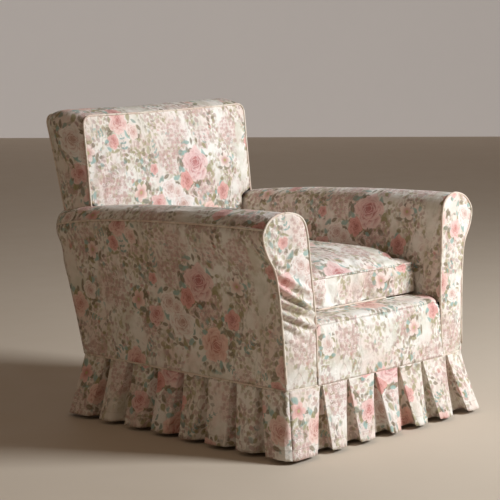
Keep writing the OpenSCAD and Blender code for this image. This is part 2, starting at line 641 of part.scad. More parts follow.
// A zip that lies in the XY plane with its length along X, its face towards +Z
module zip_tape(length) {
    translate([-length / 2, -zip_w / 2, 0.1]) cube([length, zip_w, tape_t]);
    translate([-length / 2 + 6, -coil_w / 2, 0.1 + tape_t]) cube([length - 12, coil_w, coil_h]);
}
slider_l = 13;
slider_w = 10;
slider_h = 4.2;
module zip_slider() {
    over = 0.1 + tape_t + 0.15;
    difference() {
        translate([-slider_l / 2, -slider_w / 2, over]) cube([slider_l, slider_w, slider_h - over]);
        translate([-slider_l, -coil_w / 2 - 0.3, 0])
            cube([2 * slider_l, coil_w + 0.6, 0.1 + tape_t + coil_h + 0.3]);
    }
}
pull_l = 22;
pull_t = 1.4;
pin_r = 1;
ear_h = 4;
pivot = [2.5, 0, slider_h + 2];              // the pull's pin, in the slider's own frame
module slider_ears() difference() {
    for (w = [-1, 1]) translate([0, w * 4.4 - 0.6, slider_h - 0.1]) cube([2 * pivot[0], 1.2, ear_h + 0.1]);
    translate(pivot) rotate([90, 0, 0]) cylinder(h = 20, r = pin_r + 0.05, center = true, $fn = 24);
}
// The pull trails from its pin along -X and lifts off the tape by the angle hang
module zip_pull(hang) translate(pivot) rotate([0, hang, 0]) {
    rotate([90, 0, 0]) cylinder(h = slider_w, r = pin_r, center = true, $fn = 24);
    translate([0, 0, -pull_t / 2]) linear_extrude(pull_t) difference() {
        union() {
            translate([4 - pull_l, -3]) square([pull_l - 4, 6]);
            translate([4 - pull_l, 0]) circle(r = 4, $fn = 36);
        }
        translate([4 - pull_l, 0]) circle(r = 1.8, $fn = 24);
    }
}

zip_z = cushion_low + cushion_boxing / 2;
module on_cushion_rear() translate([0, cushion_rear, zip_z]) rotate([-90, 0, 0]) children();
module cushion_zip_tape() color(BRASS) on_cushion_rear() zip_tape(cushion_zip);
module cushion_zip_slider() color(BRASS) on_cushion_rear() translate([cushion_zip / 2 - 30, 0, 0]) {
    zip_slider();
    translate([4, -2.5, slider_h - 0.1]) mirror([1, 0, 0]) cube([pull_l, 5, pull_t]);
}

cover_zip_x = -(inside_half - 14);
cover_zip_low = seam_height + 24;
zip_parked = 20;                             // the zip's lower end to its closed slider
module on_outside_back() translate([cover_zip_x, rear_y(cover_zip_low), cover_zip_low])
    rotate([90 - back_rake, 0, 0]) rotate([0, 0, 90]) rotate([180, 0, 0]) children();
module cover_zip_tape() color(BRASS) on_outside_back() translate([cover_zip / 2, 0, 0]) zip_tape(cover_zip);
module cover_zip_slider() color(BRASS) on_outside_back() translate([zip_parked, 0, 0]) {
    zip_slider();
    slider_ears();
}
module cover_zip_pull() color(BRASS) on_outside_back() translate([zip_parked, 0, 0]) zip_pull(back_rake);

front_post(-1);  // front_post_left
front_post(1);  // front_post_right
back_post(-1);  // back_post_left
back_post(1);  // back_post_right
front_rail();
back_rail();
side_rail(-1);  // side_rail_left
side_rail(1);  // side_rail_right
corner_blocks();
glides();
arm_rail(-1);  // arm_rail_left
arm_rail(1);  // arm_rail_right
arm_tack_rail(-1);  // arm_tack_rail_left
arm_tack_rail(1);  // arm_tack_rail_right
facing_board(-1);  // facing_board_left
facing_board(1);  // facing_board_right
top_rail();
back_tack_rail();
seat_webbing();
back_webbing();
seat_springs();
spring_hessian();
deck_pad();
edge_roll();
arm_stuffing(-1);  // arm_stuffing_left
arm_stuffing(1);  // arm_stuffing_right
back_stuffing();
bottom_cloth();
cover_inside_arm(-1);  // cover_inside_arm_left
cover_inside_arm(1);  // cover_inside_arm_right
cover_outside_arm(-1);  // cover_outside_arm_left
cover_outside_arm(1);  // cover_outside_arm_right
cover_arm_front(-1);  // cover_arm_front_left
cover_arm_front(1);  // cover_arm_front_right
cover_inside_back();
cover_back_boxing();
cover_outside_back();
cover_front_border();
cover_seat_lip();
cover_platform();
arm_piping(-1);  // arm_piping_left
arm_piping(1);  // arm_piping_right
back_piping();
skirt_piping();
skirt_front();
skirt_back();
skirt_at(-1);  // skirt_left
skirt_at(1);  // skirt_right
cushion_core();
cushion_top();
cushion_bottom();
cushion_boxing_strip();
cushion_piping();
cushion_zip_tape();
cushion_zip_slider();
cover_zip_tape();
cover_zip_slider();
cover_zip_pull();
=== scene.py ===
import math
import random
import bpy
import bmesh
from mathutils import Vector, Matrix, noise


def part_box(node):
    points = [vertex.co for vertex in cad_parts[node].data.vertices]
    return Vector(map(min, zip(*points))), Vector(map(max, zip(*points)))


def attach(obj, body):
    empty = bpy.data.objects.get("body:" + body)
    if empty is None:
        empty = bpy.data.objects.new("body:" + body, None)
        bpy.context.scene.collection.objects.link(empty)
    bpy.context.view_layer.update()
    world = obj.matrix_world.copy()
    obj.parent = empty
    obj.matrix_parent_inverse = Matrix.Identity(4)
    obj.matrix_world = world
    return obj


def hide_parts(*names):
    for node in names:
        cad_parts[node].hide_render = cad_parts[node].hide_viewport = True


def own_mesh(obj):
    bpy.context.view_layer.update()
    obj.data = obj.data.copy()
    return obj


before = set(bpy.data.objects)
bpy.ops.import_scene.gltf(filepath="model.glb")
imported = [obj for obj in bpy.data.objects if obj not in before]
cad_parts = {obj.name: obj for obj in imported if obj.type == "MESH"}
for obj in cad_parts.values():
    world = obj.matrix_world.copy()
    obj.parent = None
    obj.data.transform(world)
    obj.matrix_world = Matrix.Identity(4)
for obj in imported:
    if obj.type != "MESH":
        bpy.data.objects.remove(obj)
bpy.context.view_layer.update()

print("frame loaded")


# measures taken from the frame
def low(name):
    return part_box(name)[0]


def high(name):
    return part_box(name)[1]


cord = 0.003  # radius of the piping
tuck = 0.0037  # from a seam's line to the edge of the cloth
clothThickness = 0.0016
seatSink = 0.040  # how far the sprung seat goes down
seamZ = high("skirt_piping")[2] - cord
baseHalf = high("skirt_piping")[0] - cord
frontSeamY = low("skirt_piping")[1] + cord
rearSeamY = high("skirt_piping")[1] - cord
insideHalf = high("cover_front_border")[0] + tuck
armTop = high("arm_piping_right")[2] - cord
rollOut = high("arm_piping_right")[0] - cord - baseHalf
backTop = high("back_piping")[2] - cord
backRear = high("back_piping")[1] - cord
backHalf = high("cover_inside_back")[0] + tuck
deckZ = high("cover_platform")[2]
borderZ = high("cover_front_border")[2]
lipRear = high("cover_seat_lip")[1]
hemZ = low("skirt_front")[2]
flare = frontSeamY - low("skirt_front")[1]

shape = dict(
    armFall=0.038, armLean=0.023, armOpen=0.020, rollRear=0.026, steps=5,  # arms
    armDrop=0.014, armTuck=0.015,  # how the arm's rear end draws down and in
    outsideRake=15.8, insideRake=6.8, backThick=0.142, crown=0.025,  # back
    cornerRadius=0.027, splay=0.010, puff=0.016, sag=0.004, lean=0.007,
    frontBow=0.011,  # how far the arm's front is set back at its outer side
)
leanSlope = shape["armLean"] / (armTop - seamZ)
rakeSlope = math.tan(math.radians(shape["outsideRake"]))
faceSlope = math.tan(math.radians(shape["insideRake"]))


def vec(*parts):
    return Vector(parts)


def mix(a, b, t):
    return a + (b - a) * t


def clamp(x, a=0.0, b=1.0):
    return max(a, min(b, x))


def ease(x):
    x = clamp(x)
    return x * x * (3 - 2 * x)


def frontAt(x, z):  # the arms' fronts bow back towards their outer side
    bow = clamp((abs(x) - insideHalf) / (baseHalf - insideHalf)) ** 2
    return frontSeamY + (z - seamZ) * leanSlope + shape["frontBow"] * bow


def rearY(z):
    return backRear - (backTop - z) * rakeSlope


def faceY(z):
    return backRear - shape["backThick"] - (backTop - z) * faceSlope


def sag(x, z):  # the top of the back dips between its corners and leans up to the right
    share = x / backHalf
    return (shape["lean"] * share - shape["sag"] * (1 - share ** 2)) * ease((z - 0.70) / (backTop - 0.70))


def smoothLine(points, steps):  # a smooth curve through the points
    line = []
    last = len(points) - 1
    for i in range(last):
        a, b = points[max(i - 1, 0)], points[i]
        c, d = points[i + 1], points[min(i + 2, last)]
        for s in range(steps):
            t = s / steps
            line.append(0.5 * (2 * b + (c - a) * t + (2 * a - 5 * b + 4 * c - d) * t * t
                               + (3 * b - a - 3 * c + d) * t ** 3))
    line.append(points[last])
    return line


def pointOn(line, share):  # the point at a share of a line's length
    lengths = [0.0]
    for a, b in zip(line, line[1:]):
        lengths.append(lengths[-1] + (b - a).length)
    goal = clamp(share) * lengths[-1]
    for i in range(len(line) - 1):
        if lengths[i + 1] >= goal:
            part = (goal - lengths[i]) / max(lengths[i + 1] - lengths[i], 1e-9)
            return line[i].lerp(line[i + 1], part)
    return line[-1].copy()


def lineLength(line):
    return sum((b - a).length for a, b in zip(line, line[1:]))


def acrossAt(line, z):  # how far out a line is at a height
    for a, b in zip(line, line[1:]):
        if min(a[1], b[1]) <= z <= max(a[1], b[1]) and abs(b[1] - a[1]) > 1e-9:
            return mix(a[0], b[0], (z - a[1]) / (b[1] - a[1]))
    return line[0][0] if abs(z - line[0][1]) < abs(z - line[-1][1]) else line[-1][0]


def armSection(k):  # k is 0 at the front of the arm and 1 at its rear
    out = baseHalf + mix(rollOut, shape["rollRear"], k) - shape["armTuck"] * k ** 6
    top = armTop - shape["armFall"] * k * k - shape["armDrop"] * k ** 6
    inner = insideHalf + shape["armOpen"]
    neck = baseHalf + mix(0.42, 0.62, k) * (out - baseHalf)
    roll = out - inner
    return [Vector(p) for p in (
        (insideHalf, seamZ), (insideHalf, deckZ), (mix(insideHalf, inner, 0.6), top - 0.140),
        (inner, top - 0.052), (inner + roll * 0.13, top - 0.014), (inner + roll * 0.44, top),
        (out - roll * 0.23, top - 0.010), (out - roll * 0.04, top - 0.036), (out, top - 0.060),
        (out - roll * 0.08, top - 0.096), (neck, top - 0.138), (mix(baseHalf, neck, 0.55), top - 0.195),
        (mix(baseHalf, neck, 0.2), mix(seamZ, top, 0.3)), (baseHalf, seamZ))]


sewnAt = 7  # the section's point where the inside and outside arm meet
topAt = 5
sectionLines = {}


def armLine(k, first, last):
    key = round(k, 4)
    if key not in sectionLines:
        sectionLines[key] = smoothLine(armSection(k), shape["steps"])
    return sectionLines[key][first * shape["steps"]:last * shape["steps"] + 1]


shoulderZ = armSection(0.85)[topAt][1] + 0.003
armTopRear = armTop - shape["armFall"] - shape["armDrop"]


def backHalfAt(z):  # follows the arm up, then spreads over it
    stops = [(p[1], p[0] - (0.016 if i == 3 else 0)) for i, p in enumerate(armSection(0.85)[1:5])]
    stops.append((shoulderZ, backHalf))
    if z <= stops[0][0]:
        return stops[0][1]
    for a, b in zip(stops, stops[1:]):
        if z <= b[0]:
            return mix(a[1], b[1], (z - a[0]) / (b[0] - a[0]))
    radius = shape["cornerRadius"]
    over = clamp((z - (backTop - radius)) / radius)
    return backHalf - radius + radius * math.sqrt(max(1 - over * over, 0))


def backOutline(lowZ, extra):  # the back's outline above the arms, right side, top, left side
    half, radius = backHalf + extra, shape["cornerRadius"]
    points = [Vector((half, mix(lowZ, backTop - radius, i / 10))) for i in range(10)]
    for side in (1, -1):
        for i in range(7):
            angle = math.radians(15 * i if side > 0 else 90 - 15 * i)
            points.append(Vector((side * (half - radius + radius * math.cos(angle)),
                                  backTop - radius + radius * math.sin(angle))))
        if side > 0:
            points += [Vector((mix(half - radius, radius - half, i / 16), backTop)) for i in range(1, 16)]
    return points + [Vector((-half, mix(backTop - radius, lowZ, i / 10))) for i in range(1, 11)]


print("measures ready")


# making pieces
def foldShift(point, normal, folds):  # how far the folds lift the cloth at a point
    lift = 0.0
    for start, end, width, height in folds:
        run = end - start
        t = (point - start).dot(run) / run.length_squared
        if -0.2 < t < 1.2:
            side = normal.cross(run)
            if side.length < 1e-6:
                continue
            d = (point - start - run * t).dot(side.normalized()) / width
            fade = ease((t + 0.2) / 0.4) * ease((1.2 - t) / 0.4)
            lift += height * fade * (math.exp(-d * d) - 0.5 * math.exp(-(d - 1.6) ** 2)
                                     - 0.5 * math.exp(-(d + 1.6) ** 2))
    return lift


def crumple(point, amount):  # soft hand-pressed unevenness
    return amount * (noise.noise(point * 9) + 0.45 * noise.noise(point * 24 + Vector((7, 3, 1))))


def panelMesh(cols, rows, place, lay, outward, folds=(), amount=0.0012, edge=0.08):
    mesh = bmesh.new()
    bmesh.ops.create_grid(mesh, x_segments=cols, y_segments=rows, size=0.5)
    mesh.verts.index_update()
    clothMap = mesh.loops.layers.uv.new("Cloth")
    spots, laid = {}, {}
    for v in mesh.verts:
        s, t = v.co.x + 0.5, v.co.y + 0.5
        v.co = place(s, t)
        spots[v.index] = (s, t)
        laid[v.index] = lay(s, t, v.co)
    for face in mesh.faces:
        for loop in face.loops:
            loop[clothMap].uv = laid[loop.vert.index]
    mesh.normal_update()
    total = Vector()
    for face in mesh.faces:
        total += face.normal * face.calc_area()
    if total.dot(Vector(outward)) < 0:
        bmesh.ops.reverse_faces(mesh, faces=mesh.faces[:])
        mesh.normal_update()
    moves = {}
    for v in mesh.verts:
        s, t = spots[v.index]
        inner = ease(min(s, 1 - s, t, 1 - t) / edge) if edge else 1
        moves[v] = v.normal * inner * (foldShift(v.co, v.normal, folds) + crumple(v.co, amount))
    for v, move in moves.items():
        v.co += move
    bmesh.ops.remove_doubles(mesh, verts=mesh.verts[:], dist=0.00002)
    return mesh


def addPiece(name, mesh, material, smooth=True):
    data = bpy.data.meshes.new(name)
    mesh.to_mesh(data)
    mesh.free()
    for polygon in data.polygons:
        polygon.use_smooth = smooth
    data.materials.append(material)
    piece = bpy.data.objects.new(name, data)
    bpy.context.scene.collection.objects.link(piece)
    return piece


def thicken(piece, thickness=clothThickness):
    wall = piece.modifiers.new("Thickness", "SOLIDIFY")
    wall.thickness = thickness
    wall.offset = -1
    wall.use_rim = True


def fit(piece, body, slotName, *nodes):
    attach(piece, body)
    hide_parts(*nodes)


def pipe(name, lines, radius, material, closed=False, resolution=3):  # round cord along lines
    curve = bpy.data.curves.new(name, "CURVE")
    curve.dimensions = "3D"
    curve.bevel_depth = radius
    curve.bevel_resolution = resolution
    curve.use_fill_caps = True
    for line in lines:
        spline = curve.splines.new("POLY")
        spline.points.add(len(line) - 1)
        for point, place in zip(spline.points, line):
            point.co = (*place, 1)
        spline.use_cyclic_u = closed
    holder = bpy.data.objects.new(name + "Curve", curve)
    bpy.context.scene.collection.objects.link(holder)
    bpy.context.view_layer.update()
    data = bpy.data.meshes.new_from_object(holder.evaluated_get(bpy.context.evaluated_depsgraph_get()))
    bpy.data.objects.remove(holder)
    tube = bmesh.new()
    tube.from_mesh(data)
    bmesh.ops.remove_doubles(tube, verts=tube.verts[:], dist=0.00002)
    bmesh.ops.recalc_face_normals(tube, faces=tube.faces[:])
    return addPiece(name, tube, material)


# node helpers
class Graph:
    def __init__(self, tree):
        self.tree = tree

    def add(self, kind, inputs=None, **settings):
        made = self.tree.nodes.new(kind)
        for key, value in settings.items():
            setattr(made, key, value)
        for key, value in (inputs or {}).items():
            self.put(made.inputs[key], value)
        return made

    def put(self, socket, value):
        if isinstance(value, bpy.types.NodeSocket):
            self.tree.links.new(value, socket)
        else:
            socket.default_value = value

    def maths(self, operation, *values, held=False):
        made = self.add("ShaderNodeMath", operation=operation, use_clamp=held)
        for socket, value in zip(made.inputs, values):
            self.put(socket, value)
        return made.outputs[0]

    def times(self, a, b):
        return self.maths("MULTIPLY", a, b)

    def vector(self, operation, *values, out=0):
        made = self.add("ShaderNodeVectorMath", operation=operation)
        for socket, value in zip(made.inputs[:3], values):
            self.put(socket, value)
        return made.outputs[out]

    def scale(self, vector, factor):
        return self.add("ShaderNodeVectorMath", {0: vector, "Scale": factor}, operation="SCALE").outputs[0]

    def mixed(self, kind, factor, a, b, first, out, blend="MIX"):  # first is the number of the A socket
        made = self.add("ShaderNodeMix", data_type=kind, blend_type=blend)
        for index, value in ((0, factor), (first, a), (first + 1, b)):
            self.put(made.inputs[index], value)
        return made.outputs[out]

    def mixColour(self, factor, a, b, blend="MIX"):
        return self.mixed("RGBA", factor, a, b, 6, 2, blend)

    def mixVector(self, factor, a, b):
        return self.mixed("VECTOR", factor, a, b, 4, 1)

    def mixValue(self, factor, a, b):
        return self.mixed("FLOAT", factor, a, b, 2, 0)

    def between(self, value, fromLow, fromHigh, toLow=0.0, toHigh=1.0):  # smooth step
        made = self.tree.nodes.new("ShaderNodeMapRange")
        made.interpolation_type = "SMOOTHSTEP"
        for index, number in enumerate((value, fromLow, fromHigh, toLow, toHigh)):
            self.put(made.inputs[index], number)
        return made.outputs[0]

    def noise(self, vector, scale, detail=2.0, rough=0.5, out="Fac"):
        made = self.add("ShaderNodeTexNoise", {"Vector": vector, "Scale": scale, "Detail": detail,
                                                "Roughness": rough})
        return made.outputs[out]

    def split(self, vector):
        made = self.add("ShaderNodeSeparateXYZ", {0: vector})
        return made.outputs

    def join(self, x, y, z=0.0):
        return self.add("ShaderNodeCombineXYZ", {0: x, 1: y, 2: z}).outputs[0]

    def turn(self, vector, angle):
        made = self.add("ShaderNodeVectorRotate", {"Vector": vector, "Angle": angle},
                        rotation_type="Z_AXIS")
        return made.outputs[0]

    def group(self, tree, **inputs):
        made = self.tree.nodes.new("ShaderNodeGroup")
        made.node_tree = tree
        for key, value in inputs.items():
            self.put(made.inputs[key], value)
        return made.outputs


kinds = {"v": "NodeSocketVector", "f": "NodeSocketFloat", "c": "NodeSocketColor"}


def newGroup(name, inputs, outputs):  # inputs are (name, kind, value), outputs (name, kind)
    tree = bpy.data.node_groups.new(name, "ShaderNodeTree")
    for label, kind, value in inputs:
        socket = tree.interface.new_socket(name=label, in_out="INPUT", socket_type=kinds[kind])
        if value is not None:
            socket.default_value = value
    for label, kind in outputs:
        tree.interface.new_socket(name=label, in_out="OUTPUT", socket_type=kinds[kind])
    graph = Graph(tree)
    return graph, tree.nodes.new("NodeGroupInput").outputs, tree.nodes.new("NodeGroupOutput").inputs


def dye(code):  # a colour from its usual six digits
    parts = [int(code[i:i + 2], 16) / 255 for i in (0, 2, 4)]
    return tuple(p / 12.92 if p <= 0.04045 else ((p + 0.055) / 1.055) ** 2.4 for p in parts) + (1,)


def newMaterial(name):
    material = bpy.data.materials.new(name)
    material.use_nodes = True
    graph = Graph(material.node_tree)
    shader = material.node_tree.nodes["Principled BSDF"]
    return material, graph, shader


# the parts of the printed pattern
def nearerBloomGroup():  # keeps whichever bloom is nearest, with its own colours
    g, i, o = newGroup("nearerBloom", [
        ("Point", "v", None), ("Centre", "v", None), ("Size", "f", 0.04), ("Turn", "f", 0.0),
        ("Heart", "c", None), ("Edge", "c", None), ("Wild", "f", 0.0),
        ("Last Near", "f", 9.0), ("Last Local", "v", None), ("Last Heart", "c", None),
        ("Last Edge", "c", None), ("Last Wild", "f", 0.0)],
        [("Near", "f"), ("Local", "v"), ("Heart", "c"), ("Edge", "c"), ("Wild", "f")])
    away = g.vector("SUBTRACT", i["Point"], i["Centre"])
    local = g.scale(g.turn(away, i["Turn"]), g.maths("DIVIDE", 1.0, i["Size"]))
    near = g.vector("LENGTH", local, out=1)
    closer = g.maths("LESS_THAN", near, i["Last Near"])
    g.put(o["Near"], g.maths("MINIMUM", near, i["Last Near"]))
    g.put(o["Local"], g.mixVector(closer, i["Last Local"], local))
    g.put(o["Heart"], g.mixColour(closer, i["Last Heart"], i["Heart"]))
    g.put(o["Edge"], g.mixColour(closer, i["Last Edge"], i["Edge"]))
    g.put(o["Wild"], g.mixValue(closer, i["Last Wild"], i["Wild"]))
    return g.tree


def petalRingGroup():  # one ring of petals, laid over the tone of the rings outside it
    g, i, o = newGroup("petalRing", [
        ("Distance", "f", 0.5), ("Angle", "f", 0.0), ("Radius", "f", 1.0), ("Petals", "f", 5.0),
        ("Phase", "f", 0.0), ("Below", "f", 0.0)], [("Tone", "f"), ("Mask", "f")])
    around = g.maths("MULTIPLY_ADD", i["Angle"], g.times(i["Petals"], 0.5), i["Phase"])
    wave = g.maths("ABSOLUTE", g.maths("SINE", around))
    lobe = g.maths("POWER", wave, 0.55)
    rim = g.times(i["Radius"], g.maths("MULTIPLY_ADD", lobe, 0.24, 0.76))
    share = g.maths("DIVIDE", i["Distance"], rim)
    inside = g.between(share, 1.05, 0.95)
    tone = g.times(g.between(share, 0.66, 0.98, 0.0, 1.0), g.maths("MULTIPLY_ADD", lobe, 0.45, 0.55))
    g.put(o["Tone"], g.mixValue(inside, i["Below"], tone))
    g.put(o["Mask"], inside)
    return g.tree


def roseShadeGroup(petalRing):
    g, i, o = newGroup("roseShade", [("Local", "v", None), ("Heart", "c", None), ("Edge", "c", None)],
                       [("Colour", "c"), ("Mask", "f"), ("Tone", "f")])
    stir = g.vector("SUBTRACT", g.noise(i["Local"], 2.4, 3, out="Color"), (0.5, 0.5, 0.5))
    local = g.vector("ADD", i["Local"], g.scale(stir, 0.46))
    x, y, z = g.split(local)
    r = g.vector("LENGTH", g.join(x, y), out=1)
    tone, mask = 0.0, None
    for radius, petals, phase in ((1.0, 5, 0.3), (0.84, 5, 1.2), (0.67, 4, 2.1), (0.50, 3, 0.4),
                                  (0.34, 3, 1.9), (0.19, 2, 0.9)):
        lift = 0.22 * (1 - radius)  # the inner petals sit a little to one side
        r = g.vector("LENGTH", g.join(g.maths("ADD", x, lift * 0.5), g.maths("SUBTRACT", y, lift)), out=1)
        angle = g.maths("ARCTAN2", g.maths("SUBTRACT", y, lift), g.maths("ADD", x, lift * 0.5))
        ring = g.group(petalRing, Distance=r, Angle=angle, Radius=radius, Petals=float(petals),
                       Phase=phase, Below=tone)
        tone = ring["Tone"]
        mask = mask or ring["Mask"]
    pale = g.maths("ADD", g.times(tone, 0.75), g.maths("MULTIPLY_ADD", r, 0.42, -0.08), held=True)
    colour = g.mixColour(pale, i["Heart"], i["Edge"])
    deep = g.mixColour(1.0, i["Heart"], (0.66, 0.52, 0.48, 1), "MULTIPLY")
    colour = g.mixColour(g.between(tone, 0.22, 0.0, 0, 0.5), colour, deep)
    g.put(o["Colour"], colour)
    g.put(o["Mask"], mask)
    g.put(o["Tone"], tone)
    return g.tree


def wildShadeGroup():  # an open flower with five petals round a small eye
    g, i, o = newGroup("wildShade", [("Local", "v", None), ("Heart", "c", None), ("Edge", "c", None)],
                       [("Colour", "c"), ("Mask", "f")])
    x, y, z = g.split(i["Local"])
    r = g.vector("LENGTH", g.join(x, y), out=1)
    angle = g.maths("ARCTAN2", y, x)
    lobe = g.maths("POWER", g.maths("ABSOLUTE", g.maths("SINE", g.times(angle, 2.5))), 0.6)
    rim = g.maths("MULTIPLY_ADD", lobe, 0.5, 0.5)
    mask = g.between(g.maths("DIVIDE", r, rim), 1.05, 0.93)
    vein = g.maths("MULTIPLY_ADD", g.maths("SINE", g.times(angle, 26.0)), 0.10, 0.05)
    fade = g.maths("ADD", g.between(r, 0.15, 0.8), vein, held=True)
    colour = g.mixColour(fade, i["Heart"], i["Edge"])
    colour = g.mixColour(g.between(r, 0.22, 0.13), colour, dye("b9a86a"))
    g.put(o["Colour"], colour)
    g.put(o["Mask"], mask)
    return g.tree


def sprigGroup():  # a curved stem with paired leaves that shrink towards its tip
    g, i, o = newGroup("sprig", [
        ("Point", "v", None), ("Foot", "v", None), ("Turn", "f", 0.0), ("Length", "f", 0.08),
        ("Pairs", "f", 5.0), ("Bend", "f", 0.25), ("Last", "f", 0.0)], [("Mask", "f")])
    away = g.turn(g.vector("SUBTRACT", i["Point"], i["Foot"]), i["Turn"])
    x, y, z = g.split(g.scale(away, g.maths("DIVIDE", 1.0, i["Length"])))
    y = g.maths("SUBTRACT", y, g.times(g.times(x, x), i["Bend"]))
    side = g.maths("ABSOLUTE", y)
    step = g.times(x, i["Pairs"])
    cell = g.maths("DIVIDE", g.maths("SUBTRACT", g.maths("FRACT", step), 0.15), i["Pairs"])
    along = g.maths("ADD", g.times(cell, 0.55), g.times(side, 0.83))
    over = g.maths("SUBTRACT", g.times(side, 0.55), g.times(cell, 0.83))
    reach = g.maths("MULTIPLY_ADD", x, -0.16, 0.27)
    share = g.maths("DIVIDE", along, reach)
    held = g.maths("MAXIMUM", g.maths("MINIMUM", share, 1.0), 0.0)
    swell = g.maths("SINE", g.times(held, math.pi))
    leaf = g.maths("SUBTRACT", g.times(swell, g.times(reach, 0.24)),
                   g.maths("ABSOLUTE", over))
    leafMask = g.between(leaf, -0.006, 0.012)
    stemMask = g.between(side, 0.016, 0.006)
    along = g.times(g.maths("GREATER_THAN", x, 0.0), g.maths("LESS_THAN", x, 1.0))
    mask = g.times(g.maths("MAXIMUM", leafMask, stemMask), along)
    g.put(o["Mask"], g.maths("MAXIMUM", mask, i["Last"]))
    return g.tree


def leafScatterGroup():  # pointed leaves strewn one to a cell
    g, i, o = newGroup("leafScatter", [
        ("Point", "v", None), ("Cell", "f", 0.03), ("Length", "f", 0.6), ("Width", "f", 0.22),
        ("Lean", "f", 3.0)], [("Mask", "f"), ("Tint", "f"), ("Rib", "f"), ("Chance", "f")])
    cells = g.add("ShaderNodeTexVoronoi", {"Vector": g.scale(i["Point"], g.maths("DIVIDE", 1.0, i["Cell"])),
                                           "Scale": 1.0, "Randomness": 0.85}, voronoi_dimensions="2D")
    away = g.vector("SUBTRACT", g.scale(i["Point"], g.maths("DIVIDE", 1.0, i["Cell"])),
                    cells.outputs["Position"])
    red, green, blue = g.split(cells.outputs["Color"])
    x, y, z = g.split(g.turn(away, g.times(g.maths("SUBTRACT", red, 0.5), i["Lean"])))
    share = g.maths("ADD", g.maths("DIVIDE", x, i["Length"]), 0.5)
    held = g.maths("MAXIMUM", g.maths("MINIMUM", share, 1.0), 0.0)
    swell = g.maths("SINE", g.times(g.maths("POWER", held, 0.8), math.pi))
    leaf = g.maths("SUBTRACT", g.times(swell, i["Width"]), g.maths("ABSOLUTE", y))
    g.put(o["Mask"], g.between(leaf, -0.06, 0.10))
    g.put(o["Tint"], green)
    g.put(o["Rib"], g.between(g.maths("ABSOLUTE", y), 0.03, 0.0))
    g.put(o["Chance"], blue)
    return g.tree


def floretGroup():  # small five-lobed florets packed into a cluster
    g, i, o = newGroup("florets", [("Point", "v", None), ("Cell", "f", 0.011)],
                       [("Mask", "f"), ("Tint", "f"), ("Eye", "f")])
    spot = g.scale(i["Point"], g.maths("DIVIDE", 1.0, i["Cell"]))
    cells = g.add("ShaderNodeTexVoronoi", {"Vector": spot, "Scale": 1.0, "Randomness": 0.7},
                  voronoi_dimensions="2D")
    away = g.vector("SUBTRACT", spot, cells.outputs["Position"])
    x, y, z = g.split(away)
    r = g.vector("LENGTH", away, out=1)
    red, green, blue = g.split(cells.outputs["Color"])
    angle = g.maths("MULTIPLY_ADD", g.maths("ARCTAN2", y, x), 2.5, g.times(red, 3.0))
    rim = g.maths("MULTIPLY_ADD", g.maths("ABSOLUTE", g.maths("SINE", angle)), 0.22, 0.34)
    g.put(o["Mask"], g.between(g.maths("SUBTRACT", rim, r), -0.02, 0.06))
    g.put(o["Tint"], green)
    g.put(o["Eye"], g.between(r, 0.14, 0.05))
    return g.tree


def regionGroup():  # a soft round region, joined to the last one
    g, i, o = newGroup("region", [("Point", "v", None), ("Centre", "v", None), ("Reach", "f", 0.05),
                                  ("Last", "f", 0.0)], [("Region", "f")])
    away = g.vector("SUBTRACT", i["Point"], i["Centre"])
    share = g.maths("DIVIDE", g.vector("LENGTH", away, out=1), i["Reach"])
    g.put(o["Region"], g.maths("MAXIMUM", g.maths("SUBTRACT", 1.0, share), i["Last"]))
    return g.tree


def weaveGroup():  # plain weave: warp over weft, and the shade between threads
    g, i, o = newGroup("weave", [("Point", "v", None), ("Thread", "f", 0.0006)], [("Height", "f")])
    x, y, z = g.split(g.scale(i["Point"], g.maths("DIVIDE", math.pi, i["Thread"])))
    warp = g.maths("ABSOLUTE", g.maths("SINE", x))
    weft = g.maths("ABSOLUTE", g.maths("SINE", y))
    turnOver = g.times(g.maths("COSINE", x), g.maths("COSINE", y))
    g.put(o["Height"], g.mixValue(g.between(turnOver, -0.2, 0.2), warp, weft))
    return g.tree


petalRing = petalRingGroup()
nearerBloom = nearerBloomGroup()
roseShade = roseShadeGroup(petalRing)
wildShade = wildShadeGroup()
sprig = sprigGroup()
leafScatter = leafScatterGroup()
florets = floretGroup()
region = regionGroup()
weave = weaveGroup()

